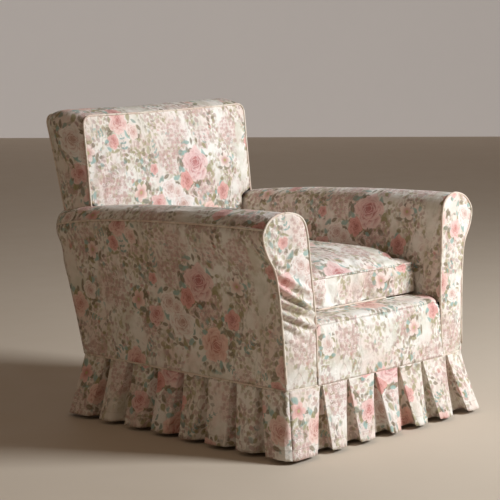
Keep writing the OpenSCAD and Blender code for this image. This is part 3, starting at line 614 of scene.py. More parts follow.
chintz = dict(
    width=0.56, height=0.64, left=-0.36, bottom=-0.32,  # one repeat
    ground="f5f0e8", groundShade="ece2d6",
    teal="84aea8", tealDark="5a8882", olive="958a58", oliveDark="6f5d40", sage="b5ab80", mauve="a5827e",
    rosyBrown="b5897e", lilac="cc9f98", blueLilac="c6a59c", palePetal="f0ded8", coral="d08278",
    blooms=[  # x, y, size, turn, heart, edge, 1 for an open flower
        (0.000, 0.000, 0.052, 0.2, "cc7476", "f6d6d0", 0),
        (-0.073, -0.113, 0.046, 1.3, "d6b0a6", "fbf5ef", 0),
        (-0.118, -0.064, 0.032, 2.0, "deb8ae", "faf2ec", 0),
        (-0.165, -0.100, 0.030, 0.7, "cc706a", "f3cdc6", 0),
        (0.046, -0.156, 0.048, 2.6, "d07e70", "f6d0c2", 0),
        (0.109, -0.084, 0.026, 0.1, "c4645e", "ecafa6", 0),
        (-0.088, -0.075, 0.028, 1.0, "dbb2a8", "faf2ea", 0),
        (-0.047, -0.040, 0.028, 1.9, "c4645e", "eba9a0", 0),
        (0.130, 0.004, 0.024, 0.4, "d39c90", "f7e4da", 1),
        (-0.228, -0.065, 0.026, 1.1, "cc8678", "f4d4ca", 1),
        (-0.169, 0.000, 0.016, 2.2, "c8706a", "eeb6ae", 0),
        (-0.277, 0.133, 0.036, 0.9, "cf7a74", "f5d0c6", 0),
        (-0.232, 0.106, 0.024, 2.3, "d8a093", "f8e2d8", 0),
        (-0.305, 0.080, 0.022, 0.6, "c96e68", "ecb2aa", 0),
        (0.092, 0.215, 0.036, 1.7, "d4897c", "f5d4c8", 0),
        (0.026, 0.262, 0.026, 0.6, "cc7a72", "f0bfb6", 1),
        (0.138, 0.262, 0.026, 2.6, "d9ada2", "faf0e8", 0),
        (-0.250, -0.232, 0.036, 2.9, "cd7a74", "f4cec4", 0),
        (-0.192, -0.272, 0.026, 0.4, "d9ac9e", "faf1e9", 0),
        (-0.305, -0.268, 0.020, 1.5, "c96e68", "ebb2aa", 0),
        (0.165, -0.270, 0.024, 0.4, "d29486", "f5dcd2", 1),
        (-0.130, 0.205, 0.020, 1.4, "d29084", "f4d8d0", 1)],
    lilacs=[
        (-0.085, 0.025, 0.085), (-0.065, 0.085, 0.070), (0.017, -0.074, 0.062), (0.160, 0.092, 0.060),
        (-0.320, -0.050, 0.070), (0.030, 0.180, 0.065), (-0.205, 0.250, 0.065), (0.140, -0.250, 0.065),
        (-0.180, -0.120, 0.060), (0.045, 0.075, 0.050), (-0.105, -0.270, 0.060)],
    tealSprigs=[  # x, y, turn, length, bend
        (0.150, -0.160, -0.7, 0.060, 0.3), (0.088, -0.205, 0.5, 0.055, -0.3),
        (-0.185, -0.110, 2.6, 0.055, 0.3), (0.045, 0.045, -1.2, 0.050, 0.3),
        (-0.150, 0.030, -2.1, 0.055, -0.3), (-0.265, 0.055, -1.7, 0.055, 0.2),
        (-0.300, 0.195, -0.9, 0.055, -0.3), (-0.335, 0.110, 2.9, 0.050, 0.3),
        (0.140, 0.190, 0.4, 0.050, 0.3), (0.030, 0.215, 2.4, 0.050, -0.2),
        (-0.205, -0.200, -0.8, 0.055, 0.3), (-0.300, -0.200, 2.2, 0.050, 0.2)],
)


def printGroup():  # the whole printed pattern, on a flat map in metres
    g, i, o = newGroup("chintzPrint", [("Point", "v", None)], [("Colour", "c"), ("Ink", "f")])
    x, y, z = g.split(i["Point"])
    column = g.maths("FLOOR", g.maths("DIVIDE", g.maths("SUBTRACT", x, chintz["left"]), chintz["width"]))
    tx = g.maths("SUBTRACT", x, g.times(column, chintz["width"]))
    odd = g.maths("MODULO", g.maths("ABSOLUTE", column), 2.0)
    ty = g.maths("ADD", y, g.times(odd, chintz["height"] / 2))
    ty = g.maths("WRAP", ty, chintz["bottom"] + chintz["height"], chintz["bottom"])
    spot = g.join(tx, ty)
    stirred = g.vector("ADD", spot, g.scale(g.vector("SUBTRACT", g.noise(i["Point"], 16, 2, out="Color"),
                                                     (0.5, 0.5, 0.5)), 0.022))
    colour = g.mixColour(g.between(g.noise(i["Point"], 5, 2), 0.35, 0.7), dye(chintz["ground"]),
                         dye(chintz["groundShade"]))
    growth = g.between(g.noise(g.vector("MULTIPLY", i["Point"], (11, 7, 1)), 1.0, 2, 0.5), 0.39, 0.50)

    def ink(under, mask, over, strength):
        return g.mixColour(g.times(mask, strength), under, over)

    # a soft wash of colour under the fine growth
    wash = g.between(g.noise(g.vector("ADD", i["Point"], (0.4, 0.9, 0)), 9, 3, 0.6), 0.44, 0.64)
    colour = ink(colour, wash, dye("e3bcb0"), 0.42)
    wash = g.between(g.noise(g.vector("ADD", i["Point"], (1.4, 0.2, 0)), 11, 3, 0.6), 0.48, 0.66)
    colour = ink(colour, wash, dye("b9b79a"), 0.40)
    # fine growth: layers of small leaves, each in its own patches
    for cell, length, width, lean, lowEnd, first, second, strength, shift in (
            (0.0130, 0.90, 0.36, 6.0, 0.42, "rosyBrown", "sage", 0.60, 0.00),
            (0.0180, 0.95, 0.34, 5.0, 0.42, "mauve", "rosyBrown", 0.65, 0.31),
            (0.0200, 0.95, 0.31, 5.0, 0.48, "sage", "olive", 0.75, 0.67),
            (0.0190, 0.90, 0.30, 6.0, 0.50, "oliveDark", "olive", 0.80, 0.93),
            (0.0230, 0.90, 0.28, 6.0, 0.57, "teal", "tealDark", 0.70, 0.52),
            (0.0170, 0.90, 0.36, 6.0, 0.55, "coral", "palePetal", 0.65, 0.18)):
        moved = g.vector("ADD", stirred, (shift, shift * 1.7, 0))
        leaves = g.group(leafScatter, Point=moved, Cell=cell, Length=length, Width=width, Lean=lean)
        patch = g.between(g.noise(g.vector("MULTIPLY", moved, (21, 14, 1)), 1.0, 2), lowEnd, lowEnd + 0.10)
        shown = g.times(leaves["Mask"], g.times(patch,
                                                            g.maths("LESS_THAN", leaves["Chance"], 0.85)))
        shade = g.mixColour(g.between(leaves["Tint"], 0.3, 0.7), dye(chintz[first]), dye(chintz[second]))
        colour = ink(colour, g.times(shown, growth), shade, strength)
    # fine stems
    wander = g.noise(g.vector("MULTIPLY", i["Point"], (32, 13, 1)), 1.0, 1)
    vine = g.maths("ABSOLUTE", g.maths("SUBTRACT", wander, 0.5))
    vines = g.times(g.between(vine, 0.020, 0.004), growth)
    colour = ink(colour, vines, dye(chintz["oliveDark"]), 0.35)
    mask = 0.0
    for sx, sy, turn, length, bend in chintz["tealSprigs"]:
        mask = g.group(sprig, Point=stirred, Foot=(sx, sy, 0), Turn=turn, Length=length, Pairs=4.0,
                       Bend=bend, Last=mask)["Mask"]
    shade = g.mixColour(g.noise(i["Point"], 60, 1), dye(chintz["teal"]), dye(chintz["tealDark"]))
    colour = ink(colour, mask, shade, 0.80)
    # clusters of tiny blossom
    cluster = 0.0
    for cx, cy, reach in chintz["lilacs"]:
        cluster = g.group(region, Point=stirred, Centre=(cx, cy, 0), Reach=reach, Last=cluster)["Region"]
    ragged = g.times(g.noise(i["Point"], 60, 2), 0.55)
    cluster = g.between(g.maths("ADD", cluster, ragged), 0.50, 0.72)
    floret = g.group(florets, Point=i["Point"], Cell=0.0105)
    petals = g.mixColour(g.between(floret["Tint"], 0.2, 0.5), dye(chintz["blueLilac"]), dye(chintz["lilac"]))
    petals = g.mixColour(g.between(floret["Tint"], 0.45, 0.8), petals, dye(chintz["palePetal"]))
    petals = g.mixColour(floret["Eye"], petals, dye("946a66"))
    colour = ink(colour, cluster, dye("cbab9c"), 0.28)
    colour = ink(colour, g.times(cluster, floret["Mask"]), petals, 0.75)
    # blooms, with leaves tucked behind them
    near, local, heart, edge, wild = 9.0, (0, 0, 0), (0, 0, 0, 1), (0, 0, 0, 1), 0.0
    for bx, by, size, turn, heartCode, edgeCode, openFlower in chintz["blooms"]:
        last = {"Last Near": near, "Last Local": local, "Last Heart": heart, "Last Edge": edge,
                "Last Wild": wild}
        pick = g.group(nearerBloom, Point=stirred, Centre=(bx, by, 0), Size=size, Turn=turn,
                       Heart=dye(heartCode), Edge=dye(edgeCode), Wild=float(openFlower), **last)
        near, local, heart, edge, wild = (pick[k] for k in ("Near", "Local", "Heart", "Edge", "Wild"))
    for cell, shift, chance in ((0.032, 0.13, 0.9), (0.024, 0.47, 0.85)):
        moved = g.vector("ADD", stirred, (shift, shift, 0))
        leaves = g.group(leafScatter, Point=moved, Cell=cell, Length=0.95, Width=0.25, Lean=6.0)
        patch = g.times(g.between(near, 1.60, 1.35), g.maths("LESS_THAN", leaves["Chance"], chance))
        shade = g.mixColour(g.between(leaves["Tint"], 0.15, 0.35), dye(chintz["teal"]),
                            dye(chintz["oliveDark"]))
        shade = g.mixColour(g.between(leaves["Tint"], 0.55, 0.75), shade, dye(chintz["olive"]))
        shade = g.mixColour(g.times(leaves["Rib"], 0.6), shade, dye(chintz["sage"]))
        colour = ink(colour, g.times(leaves["Mask"], patch), shade, 0.85)
    rose = g.group(roseShade, Local=local, Heart=heart, Edge=edge)
    flower = g.group(wildShade, Local=local, Heart=heart, Edge=edge)
    bloom = g.mixColour(wild, rose["Colour"], flower["Colour"])
    bloomMask = g.mixValue(wild, rose["Mask"], flower["Mask"])
    colour = ink(colour, bloomMask, bloom, 0.88)
    # worn, softly printed inks
    fade = g.maths("MULTIPLY_ADD", g.noise(i["Point"], 22, 3, 0.6), 0.16, -0.03)
    colour = g.mixColour(fade, colour, dye(chintz["ground"]))
    g.put(o["Colour"], colour)
    g.put(o["Ink"], bloomMask)
    return g.tree


chintzPrint = printGroup()
print("print groups ready")


def crumpleGroup():  # small creases of washed cotton, in metres
    g, i, o = newGroup("crumple", [("Point", "v", None), ("Amount", "f", 1.0)], [("Height", "f")])
    broad = g.noise(i["Point"], 14, 2, 0.5)
    pinched = g.maths("ABSOLUTE", g.maths("SUBTRACT", g.noise(i["Point"], 26, 2, 0.55), 0.5))
    total = g.maths("ADD", broad, g.times(g.maths("SQRT", pinched), -0.5))
    g.put(o["Height"], g.times(total, i["Amount"]))
    return g.tree


crumpled = crumpleGroup()


def bumpFrom(g, height, distance, strength=1.0, normal=None):
    made = g.add("ShaderNodeBump", {"Height": height, "Distance": distance, "Strength": strength})
    if normal:
        g.put(made.inputs["Normal"], normal)
    return made.outputs[0]


def makeFloral():
    material, g, shader = newMaterial("floral cotton")
    clothMap = g.add("ShaderNodeUVMap", uv_map="Cloth").outputs[0]
    place = g.add("ShaderNodeTexCoord").outputs["Object"]
    printed = g.group(chintzPrint, Point=clothMap)
    threads = g.group(weave, Point=clothMap, Thread=0.0007)["Height"]
    hem = g.add("ShaderNodeAttribute", attribute_name="hem").outputs["Fac"]  # metres from a hemmed edge
    stitch = g.between(g.maths("ABSOLUTE", g.maths("SUBTRACT", hem, 0.024)), 0.0011, 0.0002)
    worn = g.between(g.noise(place, 4, 3), 0.45, 0.75, 0, 0.10)
    colour = g.mixColour(worn, printed["Colour"], dye("e6dac8"))
    colour = g.mixColour(g.times(stitch, 0.35), colour, dye("b9a58f"))
    # painted shade between the threads: the print is darkened a little where the weave height is low
    colour = g.mixColour(g.times(g.maths("SUBTRACT", 1.0, threads), 0.10), colour, dye("b3a38e"))
    g.put(shader.inputs["Base Color"], colour)
    g.put(shader.inputs["Roughness"], g.between(g.noise(place, 30, 2), 0.3, 0.7, 0.60, 0.52))
    shader.inputs["Sheen Weight"].default_value = 0.12
    shader.inputs["Sheen Roughness"].default_value = 0.45
    shader.inputs["Specular IOR Level"].default_value = 0.35
    creases = bumpFrom(g, g.group(crumpled, Point=place, Amount=1.0)["Height"], 0.0045)
    seam = bumpFrom(g, g.times(stitch, -1.0), 0.0006, normal=creases)
    g.put(shader.inputs["Normal"], bumpFrom(g, threads, 0.00012, normal=seam))
    return material


def makePipingCloth():
    material, g, shader = newMaterial("piping cotton")
    place = g.add("ShaderNodeTexCoord").outputs["Object"]
    threads = g.group(weave, Point=g.vector("MULTIPLY", place, (1, 0.8, 1)), Thread=0.0008)["Height"]
    colour = g.mixColour(g.between(g.noise(place, 22, 2), 0.35, 0.7), dye("e9dccb"), dye("dcc3b2"))
    colour = g.mixColour(g.between(g.noise(place, 60, 2), 0.52, 0.70, 0, 0.6), colour, dye("a89a80"))
    g.put(shader.inputs["Base Color"], colour)
    g.put(shader.inputs["Roughness"], g.between(threads, 0, 1, 0.62, 0.52))
    shader.inputs["Sheen Weight"].default_value = 0.12
    creases = bumpFrom(g, g.noise(place, 90, 2), 0.0008)
    g.put(shader.inputs["Normal"], bumpFrom(g, threads, 0.00015, normal=creases))
    return material


def grainGroup():  # wood: long figure with pores
    g, i, o = newGroup("woodGrain", [("Point", "v", None), ("Light", "c", None), ("Dark", "c", None)],
                       [("Colour", "c"), ("Height", "f")])
    bent = g.vector("ADD", i["Point"], g.scale(g.noise(i["Point"], 5, 2, out="Color"), 0.03))
    rings = g.noise(g.vector("MULTIPLY", bent, (90, 7, 60)), 1.0, 3, 0.6)
    pores = g.between(g.noise(g.vector("MULTIPLY", i["Point"], (900, 60, 900)), 1.0, 1), 0.62, 0.72)
    colour = g.mixColour(g.between(rings, 0.35, 0.65), i["Light"], i["Dark"])
    g.put(o["Colour"], g.mixColour(g.times(pores, 0.4), colour, i["Dark"]))
    g.put(o["Height"], g.maths("SUBTRACT", rings, pores))
    return g.tree


woodGrain = grainGroup()


def makeWood(name, light, dark, ply=False):
    material, g, shader = newMaterial(name)
    place = g.add("ShaderNodeTexCoord").outputs["Object"]
    grain = g.group(woodGrain, Point=place, Light=dye(light), Dark=dye(dark))
    colour, height = grain["Colour"], grain["Height"]
    if ply:  # layers show on the board's edge
        x, y, z = g.split(place)
        layers = g.between(g.maths("SINE", g.times(y, 2 * math.pi / 0.003)), -0.2, 0.2, 0, 0.25)
        colour = g.mixColour(layers, colour, dye(dark))
    g.put(shader.inputs["Base Color"], colour)
    g.put(shader.inputs["Roughness"], g.between(height, -0.3, 0.8, 0.62, 0.48))
    g.put(shader.inputs["Normal"], bumpFrom(g, height, 0.0004))
    return material


def makeThreadCloth(name, light, dark, thread, rough, stripe=None):  # webbing, hessian, felt, dust cloth
    material, g, shader = newMaterial(name)
    place = g.add("ShaderNodeTexCoord").outputs["Object"]
    x, y, z = g.split(place)
    flat = g.join(g.maths("ADD", x, z), y)
    threads = g.group(weave, Point=flat, Thread=thread)["Height"]
    # painted shade between the threads: the dark colour where the weave is low, the light colour on the
    # threads' tops
    colour = g.mixColour(threads, dye(dark), dye(light))
    colour = g.mixColour(g.between(g.noise(place, 300, 2), 0.4, 0.7, 0, 0.3), colour, dye(dark))
    if stripe:
        wave = g.maths("SINE", g.times(g.maths("ADD", x, y), 400.0))
        line = g.between(wave, 0.93, 0.99, 0, 0.6)
        colour = g.mixColour(line, colour, dye(stripe))
    g.put(shader.inputs["Base Color"], colour)
    g.put(shader.inputs["Roughness"], g.between(threads, 0, 1, rough + 0.05, rough - 0.05))
    shader.inputs["Sheen Weight"].default_value = 0.08
    fuzz = bumpFrom(g, g.noise(place, 160, 3), 0.0008)
    g.put(shader.inputs["Normal"], bumpFrom(g, threads, thread * 0.35, normal=fuzz))
    return material


def scuffGroup():  # fine rubbed marks on metal
    g, i, o = newGroup("scuffs", [("Point", "v", None)], [("Mark", "f"), ("Height", "f")])
    fine = g.noise(g.vector("MULTIPLY", i["Point"], (900, 300, 900)), 1.0, 3, 0.6)
    broad = g.noise(i["Point"], 60, 2)
    g.put(o["Mark"], g.times(g.between(fine, 0.5, 0.7), g.between(broad, 0.4, 0.6)))
    g.put(o["Height"], fine)
    return g.tree


scuffs = scuffGroup()


def makeMetal(name, bright, dull, rough):
    material, g, shader = newMaterial(name)
    place = g.add("ShaderNodeTexCoord").outputs["Object"]
    rub = g.group(scuffs, Point=place)
    g.put(shader.inputs["Base Color"], g.mixColour(rub["Mark"], dye(bright), dye(dull)))
    g.put(shader.inputs["Roughness"], g.between(rub["Mark"], 0, 1, rough, rough + 0.2))
    shader.inputs["Metallic"].default_value = 1.0
    g.put(shader.inputs["Normal"], bumpFrom(g, rub["Height"], 0.0001))
    return material


def makeZip(name, middle, axis, lengthAxis):  # woven tape with a row of teeth down its middle
    material, g, shader = newMaterial(name)
    place = g.add("ShaderNodeTexCoord").outputs["Object"]
    parts = g.split(place)
    off = g.maths("ABSOLUTE", g.maths("SUBTRACT", parts[axis], middle))
    teeth = g.between(off, 0.0030, 0.0026)
    tooth = g.between(g.maths("SINE", g.times(parts[lengthAxis], 2 * math.pi / 0.0022)), -0.3, 0.3)
    flat = g.join(parts[axis], parts[lengthAxis])
    threads = g.group(weave, Point=flat, Thread=0.0006)["Height"]
    # painted shade: the tape is darker between its threads, and the brass is dark brown in the gaps between
    # the teeth
    tape = g.mixColour(threads, dye("cbbfa8"), dye("e6dcc8"))
    brass = g.mixColour(tooth, dye("5c4a2c"), dye("c8a560"))
    g.put(shader.inputs["Base Color"], g.mixColour(teeth, tape, brass))
    g.put(shader.inputs["Metallic"], teeth)
    g.put(shader.inputs["Roughness"], g.mixValue(teeth, 0.7, 0.35))
    height = g.mixValue(teeth, g.times(threads, 0.3), tooth)
    g.put(shader.inputs["Normal"], bumpFrom(g, height, 0.0005))
    return material


floral = makeFloral()
pipingCloth = makePipingCloth()
cushionZipZ = (low("cushion_zip_tape")[2] + high("cushion_zip_tape")[2]) / 2
coverZipX = (low("cover_zip_tape")[0] + high("cover_zip_tape")[0]) / 2
beech = makeWood("beech", "cfae82", "a8825a")
plywood = makeWood("plywood", "d6bd94", "ac8c62", ply=True)
jute = makeThreadCloth("jute webbing", "b89a6a", "7c6340", 0.0024, 0.85, stripe="3c3c40")
hessian = makeThreadCloth("hessian", "b59a6c", "75603e", 0.0018, 0.88)
felt = makeThreadCloth("cotton felt", "e4dccb", "c6bba4", 0.0040, 0.90)
dustCloth = makeThreadCloth("dust cloth", "3e3d3c", "222222", 0.0010, 0.80)
springSteel = makeMetal("spring steel", "8c8f94", "4d4a46", 0.38)
glideSteel = makeMetal("glide steel", "b4b6b8", "77736c", 0.30)
zipBrass = makeMetal("zip brass", "c8a35c", "8d6f38", 0.32)
finishes = {
    beech: ["front_post_left", "front_post_right", "back_post_left", "back_post_right", "front_rail",
            "back_rail", "side_rail_left", "side_rail_right", "corner_blocks", "arm_rail_left",
            "arm_rail_right", "arm_tack_rail_left", "arm_tack_rail_right", "top_rail", "back_tack_rail"],
    plywood: ["facing_board_left", "facing_board_right"],
    glideSteel: ["glides"], jute: ["seat_webbing", "back_webbing"], hessian: ["spring_hessian"],
    felt: ["deck_pad"], dustCloth: ["bottom_cloth"],
    makeZip("cushion zip", cushionZipZ, 2, 0): ["cushion_zip_tape"],
    makeZip("cover zip", coverZipX, 0, 2): ["cover_zip_tape"],
    zipBrass: ["cushion_zip_slider", "cover_zip_slider", "cover_zip_pull"],
}
for material, names in finishes.items():
    for name in names:
        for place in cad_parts[name].material_slots:
            place.material = material
print("materials ready")


# arms
def sideName(side):
    return "right" if side > 0 else "left"


def insideArmLine(k):
    return [Vector((insideHalf, deckZ - 0.016))] + armLine(k, 1, sewnAt)


arm = dict(inside=(60, 54), outside=(56, 40), front=(40, 96),  # columns and rows of each panel
           insideCrumple=0.0014, outsideCrumple=0.0016, frontCrumple=0.0012, frontPad=0.0050, ease=1.01)


def makeInsideArm(side, printShift, folds):
    tail = insideArmLine(1)
    tailPoints = [pointOn(tail, i / 200) for i in range(201)]
    length = lineLength(insideArmLine(0.5))

    def place(s, t):
        end = tailPoints[round(t * 200)]
        full = rearY(end[1]) - frontAt(end[0], end[1])
        behind = (faceY(end[1]) + 0.012 - frontAt(end[0], end[1])) / full
        share = mix(behind, 1, ease((end[0] - 0.300) / 0.016)) if end[0] < 0.316 else 1
        k = share * s
        x, z = pointOn(insideArmLine(k), t)
        return vec(side * x, mix(frontAt(x, z), rearY(z), k), z)

    def lay(s, t, p):
        return -side * p.y + printShift[0], t * length + printShift[1]

    mesh = panelMesh(*arm["inside"], place, lay, (-side * 0.6, 0, 1), folds, arm["insideCrumple"])
    piece = addPiece(f"inside_arm_{sideName(side)}", mesh, floral)
    thicken(piece)
    fit(piece, "frame", "floral_cotton", f"cover_inside_arm_{sideName(side)}",
        f"arm_stuffing_{sideName(side)}")


def makeOutsideArm(side, printShift, folds):
    def place(s, t):
        x, z = pointOn(armLine(s, sewnAt, 13), t)
        return vec(side * x, mix(frontAt(x, z), rearY(z), s), z)

    def lay(s, t, p):
        return side * p.y + printShift[0], p.z + printShift[1]

    mesh = panelMesh(*arm["outside"], place, lay, (side, 0, 0), folds, arm["outsideCrumple"])
    piece = addPiece(f"outside_arm_{sideName(side)}", mesh, floral)
    thicken(piece)
    width, height = rearY(0.4) - frontSeamY, lineLength(armLine(0.5, sewnAt, 13))
    "side_rail_" + sideName(side)
    fit(piece, "frame", "floral_cotton", f"cover_outside_arm_{sideName(side)}")


def frontInner(z):
    return acrossAt(armLine(0, 0, topAt), z)


def frontOuter(z):
    return acrossAt(armLine(0, topAt, 13), z)


def makeArmFront(side, printShift, folds):
    topLine = armLine(0, 0, 13)
    peak = max(p[1] for p in topLine) - 0.0002

    def place(s, t):
        z = seamZ + (peak - seamZ) * math.sin(t * math.pi / 2)
        inner, outer = frontInner(z), frontOuter(z)
        x = mix(inner, outer, s)
        pad = arm["frontPad"] * (1 - (2 * s - 1) ** 4)
        pad *= ease((z - seamZ) / 0.05) * ease((outer - inner) / 0.06)
        return vec(side * x, frontAt(x, z) - pad, z)

    def lay(s, t, p):
        return p.x + printShift[0], p.z + printShift[1]

    mesh = panelMesh(*arm["front"], place, lay, (0, -1, 0), folds, arm["frontCrumple"], edge=0.06)
    piece = addPiece(f"arm_front_{sideName(side)}", mesh, floral)
    thicken(piece)
    fit(piece, "frame", "floral_cotton", f"cover_arm_front_{sideName(side)}")


def makeArmPiping(side):
    ring = [vec(side * p[0], frontAt(p[0], p[1]) - 0.0008, p[1])
            for p in armLine(0, 0, 13) if p[1] > seamZ + 0.004]
    seam = []
    for i in range(41):
        k = i / 40
        x, z = armLine(k, sewnAt, sewnAt + 1)[0]
        seam.append(vec(side * (x + 0.0005), mix(frontAt(x, z) + 0.003, rearY(z) - 0.003, k), z))
    piece = pipe(f"arm_piping_{sideName(side)}_cord", [ring, seam], cord, pipingCloth)
    fit(piece, "frame", "piping_cotton", f"arm_piping_{sideName(side)}")


armFrontFolds = {
    -1: [(vec(-0.394, -0.44, 0.470), vec(-0.281, -0.44, 0.409), 0.0080, 0.0070),
         (vec(-0.388, -0.44, 0.434), vec(-0.275, -0.44, 0.365), 0.0062, 0.0105),
         (vec(-0.386, -0.44, 0.398), vec(-0.268, -0.44, 0.352), 0.0055, 0.0100),
         (vec(-0.380, -0.44, 0.368), vec(-0.268, -0.44, 0.322), 0.0060, 0.0100),
         (vec(-0.376, -0.44, 0.343), vec(-0.316, -0.44, 0.313), 0.0055, 0.0070),
         (vec(-0.360, -0.44, 0.300), vec(-0.300, -0.44, 0.270), 0.0080, 0.0030),
         (vec(-0.410, -0.44, 0.520), vec(-0.370, -0.44, 0.480), 0.0080, 0.0030)],
    1: [(vec(0.400, -0.44, 0.455), vec(0.310, -0.44, 0.375), 0.010, 0.0040),
        (vec(0.385, -0.44, 0.395), vec(0.300, -0.44, 0.300), 0.010, 0.0035),
        (vec(0.300, -0.44, 0.480), vec(0.330, -0.44, 0.400), 0.008, 0.0025)],
}
insideArmFolds = [
    (vec(0.280, -0.330, 0.520), vec(0.266, -0.410, 0.350), 0.010, 0.0045),
    (vec(0.280, -0.290, 0.500), vec(0.266, -0.375, 0.345), 0.010, 0.0040),
    (vec(0.282, -0.400, 0.540), vec(0.268, -0.430, 0.370), 0.008, 0.0030),
    (vec(0.300, -0.150, 0.600), vec(0.275, -0.230, 0.450), 0.018, 0.0025),
    (vec(0.300, 0.050, 0.590), vec(0.275, -0.050, 0.440), 0.018, 0.0025)]
for side in (-1, 1):
    mirrored = [(vec(side * a.x, a.y, a.z), vec(side * b.x, b.y, b.z), w, h) for a, b, w, h in insideArmFolds]
    makeInsideArm(side, (-0.179, -0.221) if side > 0 else (0.35, 0.20), mirrored)
    makeOutsideArm(side, (-0.157, -0.415), [])
    makeArmFront(side, (0.2, 0.1) if side < 0 else (0.05, 0.35), armFrontFolds[side])
    makeArmPiping(side)
print("arms made")


# front border, lip and platform
border = dict(grid=(96, 30), crumple=0.0014, swell=0.004, shift=(0.03, 0.10),
              pulls=(-0.250, -0.236, -0.215, 0.228, 0.246))  # where small folds pull in beside the arms
lip = dict(grid=(96, 30), crumple=0.0012, pulls=(-0.252, -0.238, -0.218, 0.230, 0.248))


def borderTop(x):  # the seam drops where it meets the arms
    edge = insideHalf - abs(x)
    return borderZ - 0.010 * ease(1 - edge / 0.022)


def makeFrontBorder():
    def place(s, t):
        x = mix(-insideHalf, insideHalf, s)
        z = mix(seamZ, borderTop(x), t)
        swell = border["swell"] * (1 - (2 * s - 1) ** 6) * math.sin(math.pi * t) + 0.003 * (1 - t)
        turn = 0.004 * ease((t - 0.9) / 0.1)
        return vec(x, frontAt(0, z) - swell + turn, z)

    def lay(s, t, p):
        return p.x + border["shift"][0], p.z + border["shift"][1]

    folds = [(vec(x, -0.445, 0.315), vec(x + 0.004, -0.447, 0.270), 0.006, 0.0016) for x in border["pulls"]]
    mesh = panelMesh(*border["grid"], place, lay, (0, -1, 0), folds, border["crumple"], edge=0.03)
    piece = addPiece("front_border", mesh, floral)
    thicken(piece)
    fit(piece, "frame", "floral_cotton", "cover_front_border")


def makeSeatLip():
    front = frontAt(0, borderZ)
    line = smoothLine([vec(front + 0.004, borderZ), vec(front + 0.006, borderZ + 0.006),
                       vec(front + 0.022, borderZ + 0.0125), vec(front + 0.046, deckZ - 0.001),
                       vec(lipRear - 0.003, deckZ)], 6)
    line += [vec(lipRear, deckZ - 0.004), vec(lipRear, deckZ - 0.020), vec(lipRear, deckZ - 0.038)]
    length = lineLength(line)

    def place(s, t):
        x = mix(-insideHalf, insideHalf, s)
        y, z = pointOn(line, t)
        drop = (borderZ - borderTop(x)) * ease(1 - t / 0.35)
        return vec(x, y + 0.5 * drop, z - drop)

    def lay(s, t, p):  # carries on from the border's print
        return p.x + border["shift"][0], borderZ + border["shift"][1] + t * length

    folds = [(vec(x, -0.445, 0.325), vec(x - 0.006, -0.400, 0.337), 0.006, 0.0020) for x in lip["pulls"]]
    mesh = panelMesh(*lip["grid"], place, lay, (0, -0.5, 1), folds, lip["crumple"], edge=0.03)
    piece = addPiece("seat_lip", mesh, floral)
    thicken(piece)
    fit(piece, "frame", "floral_cotton", "cover_seat_lip", "edge_roll")


def makePlatform():
    lowCorner, highCorner = low("cover_platform"), high("cover_platform")

    def place(s, t):
        return vec(mix(lowCorner[0], highCorner[0], s), mix(lowCorner[1], highCorner[1], t), deckZ - 0.0002)

    mesh = panelMesh(30, 34, place, lambda s, t, p: (p.x, p.y + 0.2), (0, 0, 1), [], 0.0003)
    piece = addPiece("platform_cloth", mesh, floral)
    thicken(piece, 0.0014)
    fit(piece, "seat_deck", "floral_cotton", "cover_platform")


makeFrontBorder()
makeSeatLip()
makePlatform()
print("seat front made")

# back
back = dict(inside=(84, 84), boxing=(130, 20), outside=(70, 110), insideCrumple=0.0022, boxingCrumple=0.0018,
            outsideCrumple=0.0016, width=0.80)  # the width the outside back is cut to
backLow = deckZ - 0.010
outlines = {}


def pillow(u, z):  # how far the inside back stands forward
    side = 1 - abs(u) ** 2.6
    rise = math.sin(math.pi * clamp((z - deckZ) / (backTop - deckZ)))
    return shape["crown"] * side * rise ** 0.75


def makeInsideBack():
    def place(s, t):
        u = 2 * s - 1
        z = backLow + (backTop - backLow) * math.sin(t * math.pi / 2)
        half = backHalfAt(z)
        return vec(u * half, faceY(z) - pillow(u, z), z + sag(u * half, z))

    folds = [(vec(-0.300, 0.300, 0.600), vec(-0.180, 0.290, 0.700), 0.014, 0.0040),
             (vec(-0.310, 0.300, 0.630), vec(-0.230, 0.290, 0.760), 0.014, 0.0035),
             (vec(-0.290, 0.290, 0.575), vec(-0.120, 0.280, 0.620), 0.014, 0.0035),
             (vec(0.300, 0.300, 0.610), vec(0.200, 0.290, 0.700), 0.015, 0.0030),
             (vec(0.305, 0.310, 0.640), vec(0.250, 0.300, 0.770), 0.013, 0.0030)]
    mesh = panelMesh(*back["inside"], place, lambda s, t, p: (p.x - 0.077, p.z - 0.667), (0, -1, 0), folds,
                     back["insideCrumple"], edge=0.05)
    piece = addPiece("inside_back", mesh, floral)
    thicken(piece)
    fit(piece, "frame", "floral_cotton", "cover_inside_back", "back_stuffing")


def boxingPoint(s, t, out=0.0):  # t runs from the face to the rear
    lowZ = mix(shoulderZ + 0.002, armTopRear + 0.005, t) - 0.014
    outline = outlines.setdefault(round(t, 4), backOutline(lowZ, shape["splay"] * t))
    here = pointOn(outline, s)
    ahead, before = pointOn(outline, min(s + 0.004, 1)), pointOn(outline, max(s - 0.004, 0))
    run = (ahead - before).normalized()
    push = shape["puff"] * math.sin(math.pi * t) ** 0.8 + out
    x, z = here[0] + run[1] * push, here[1] - run[0] * push
    depth = mix(faceY(here[1]), rearY(here[1]), t)
    return vec(x, depth, z + sag(x, z))


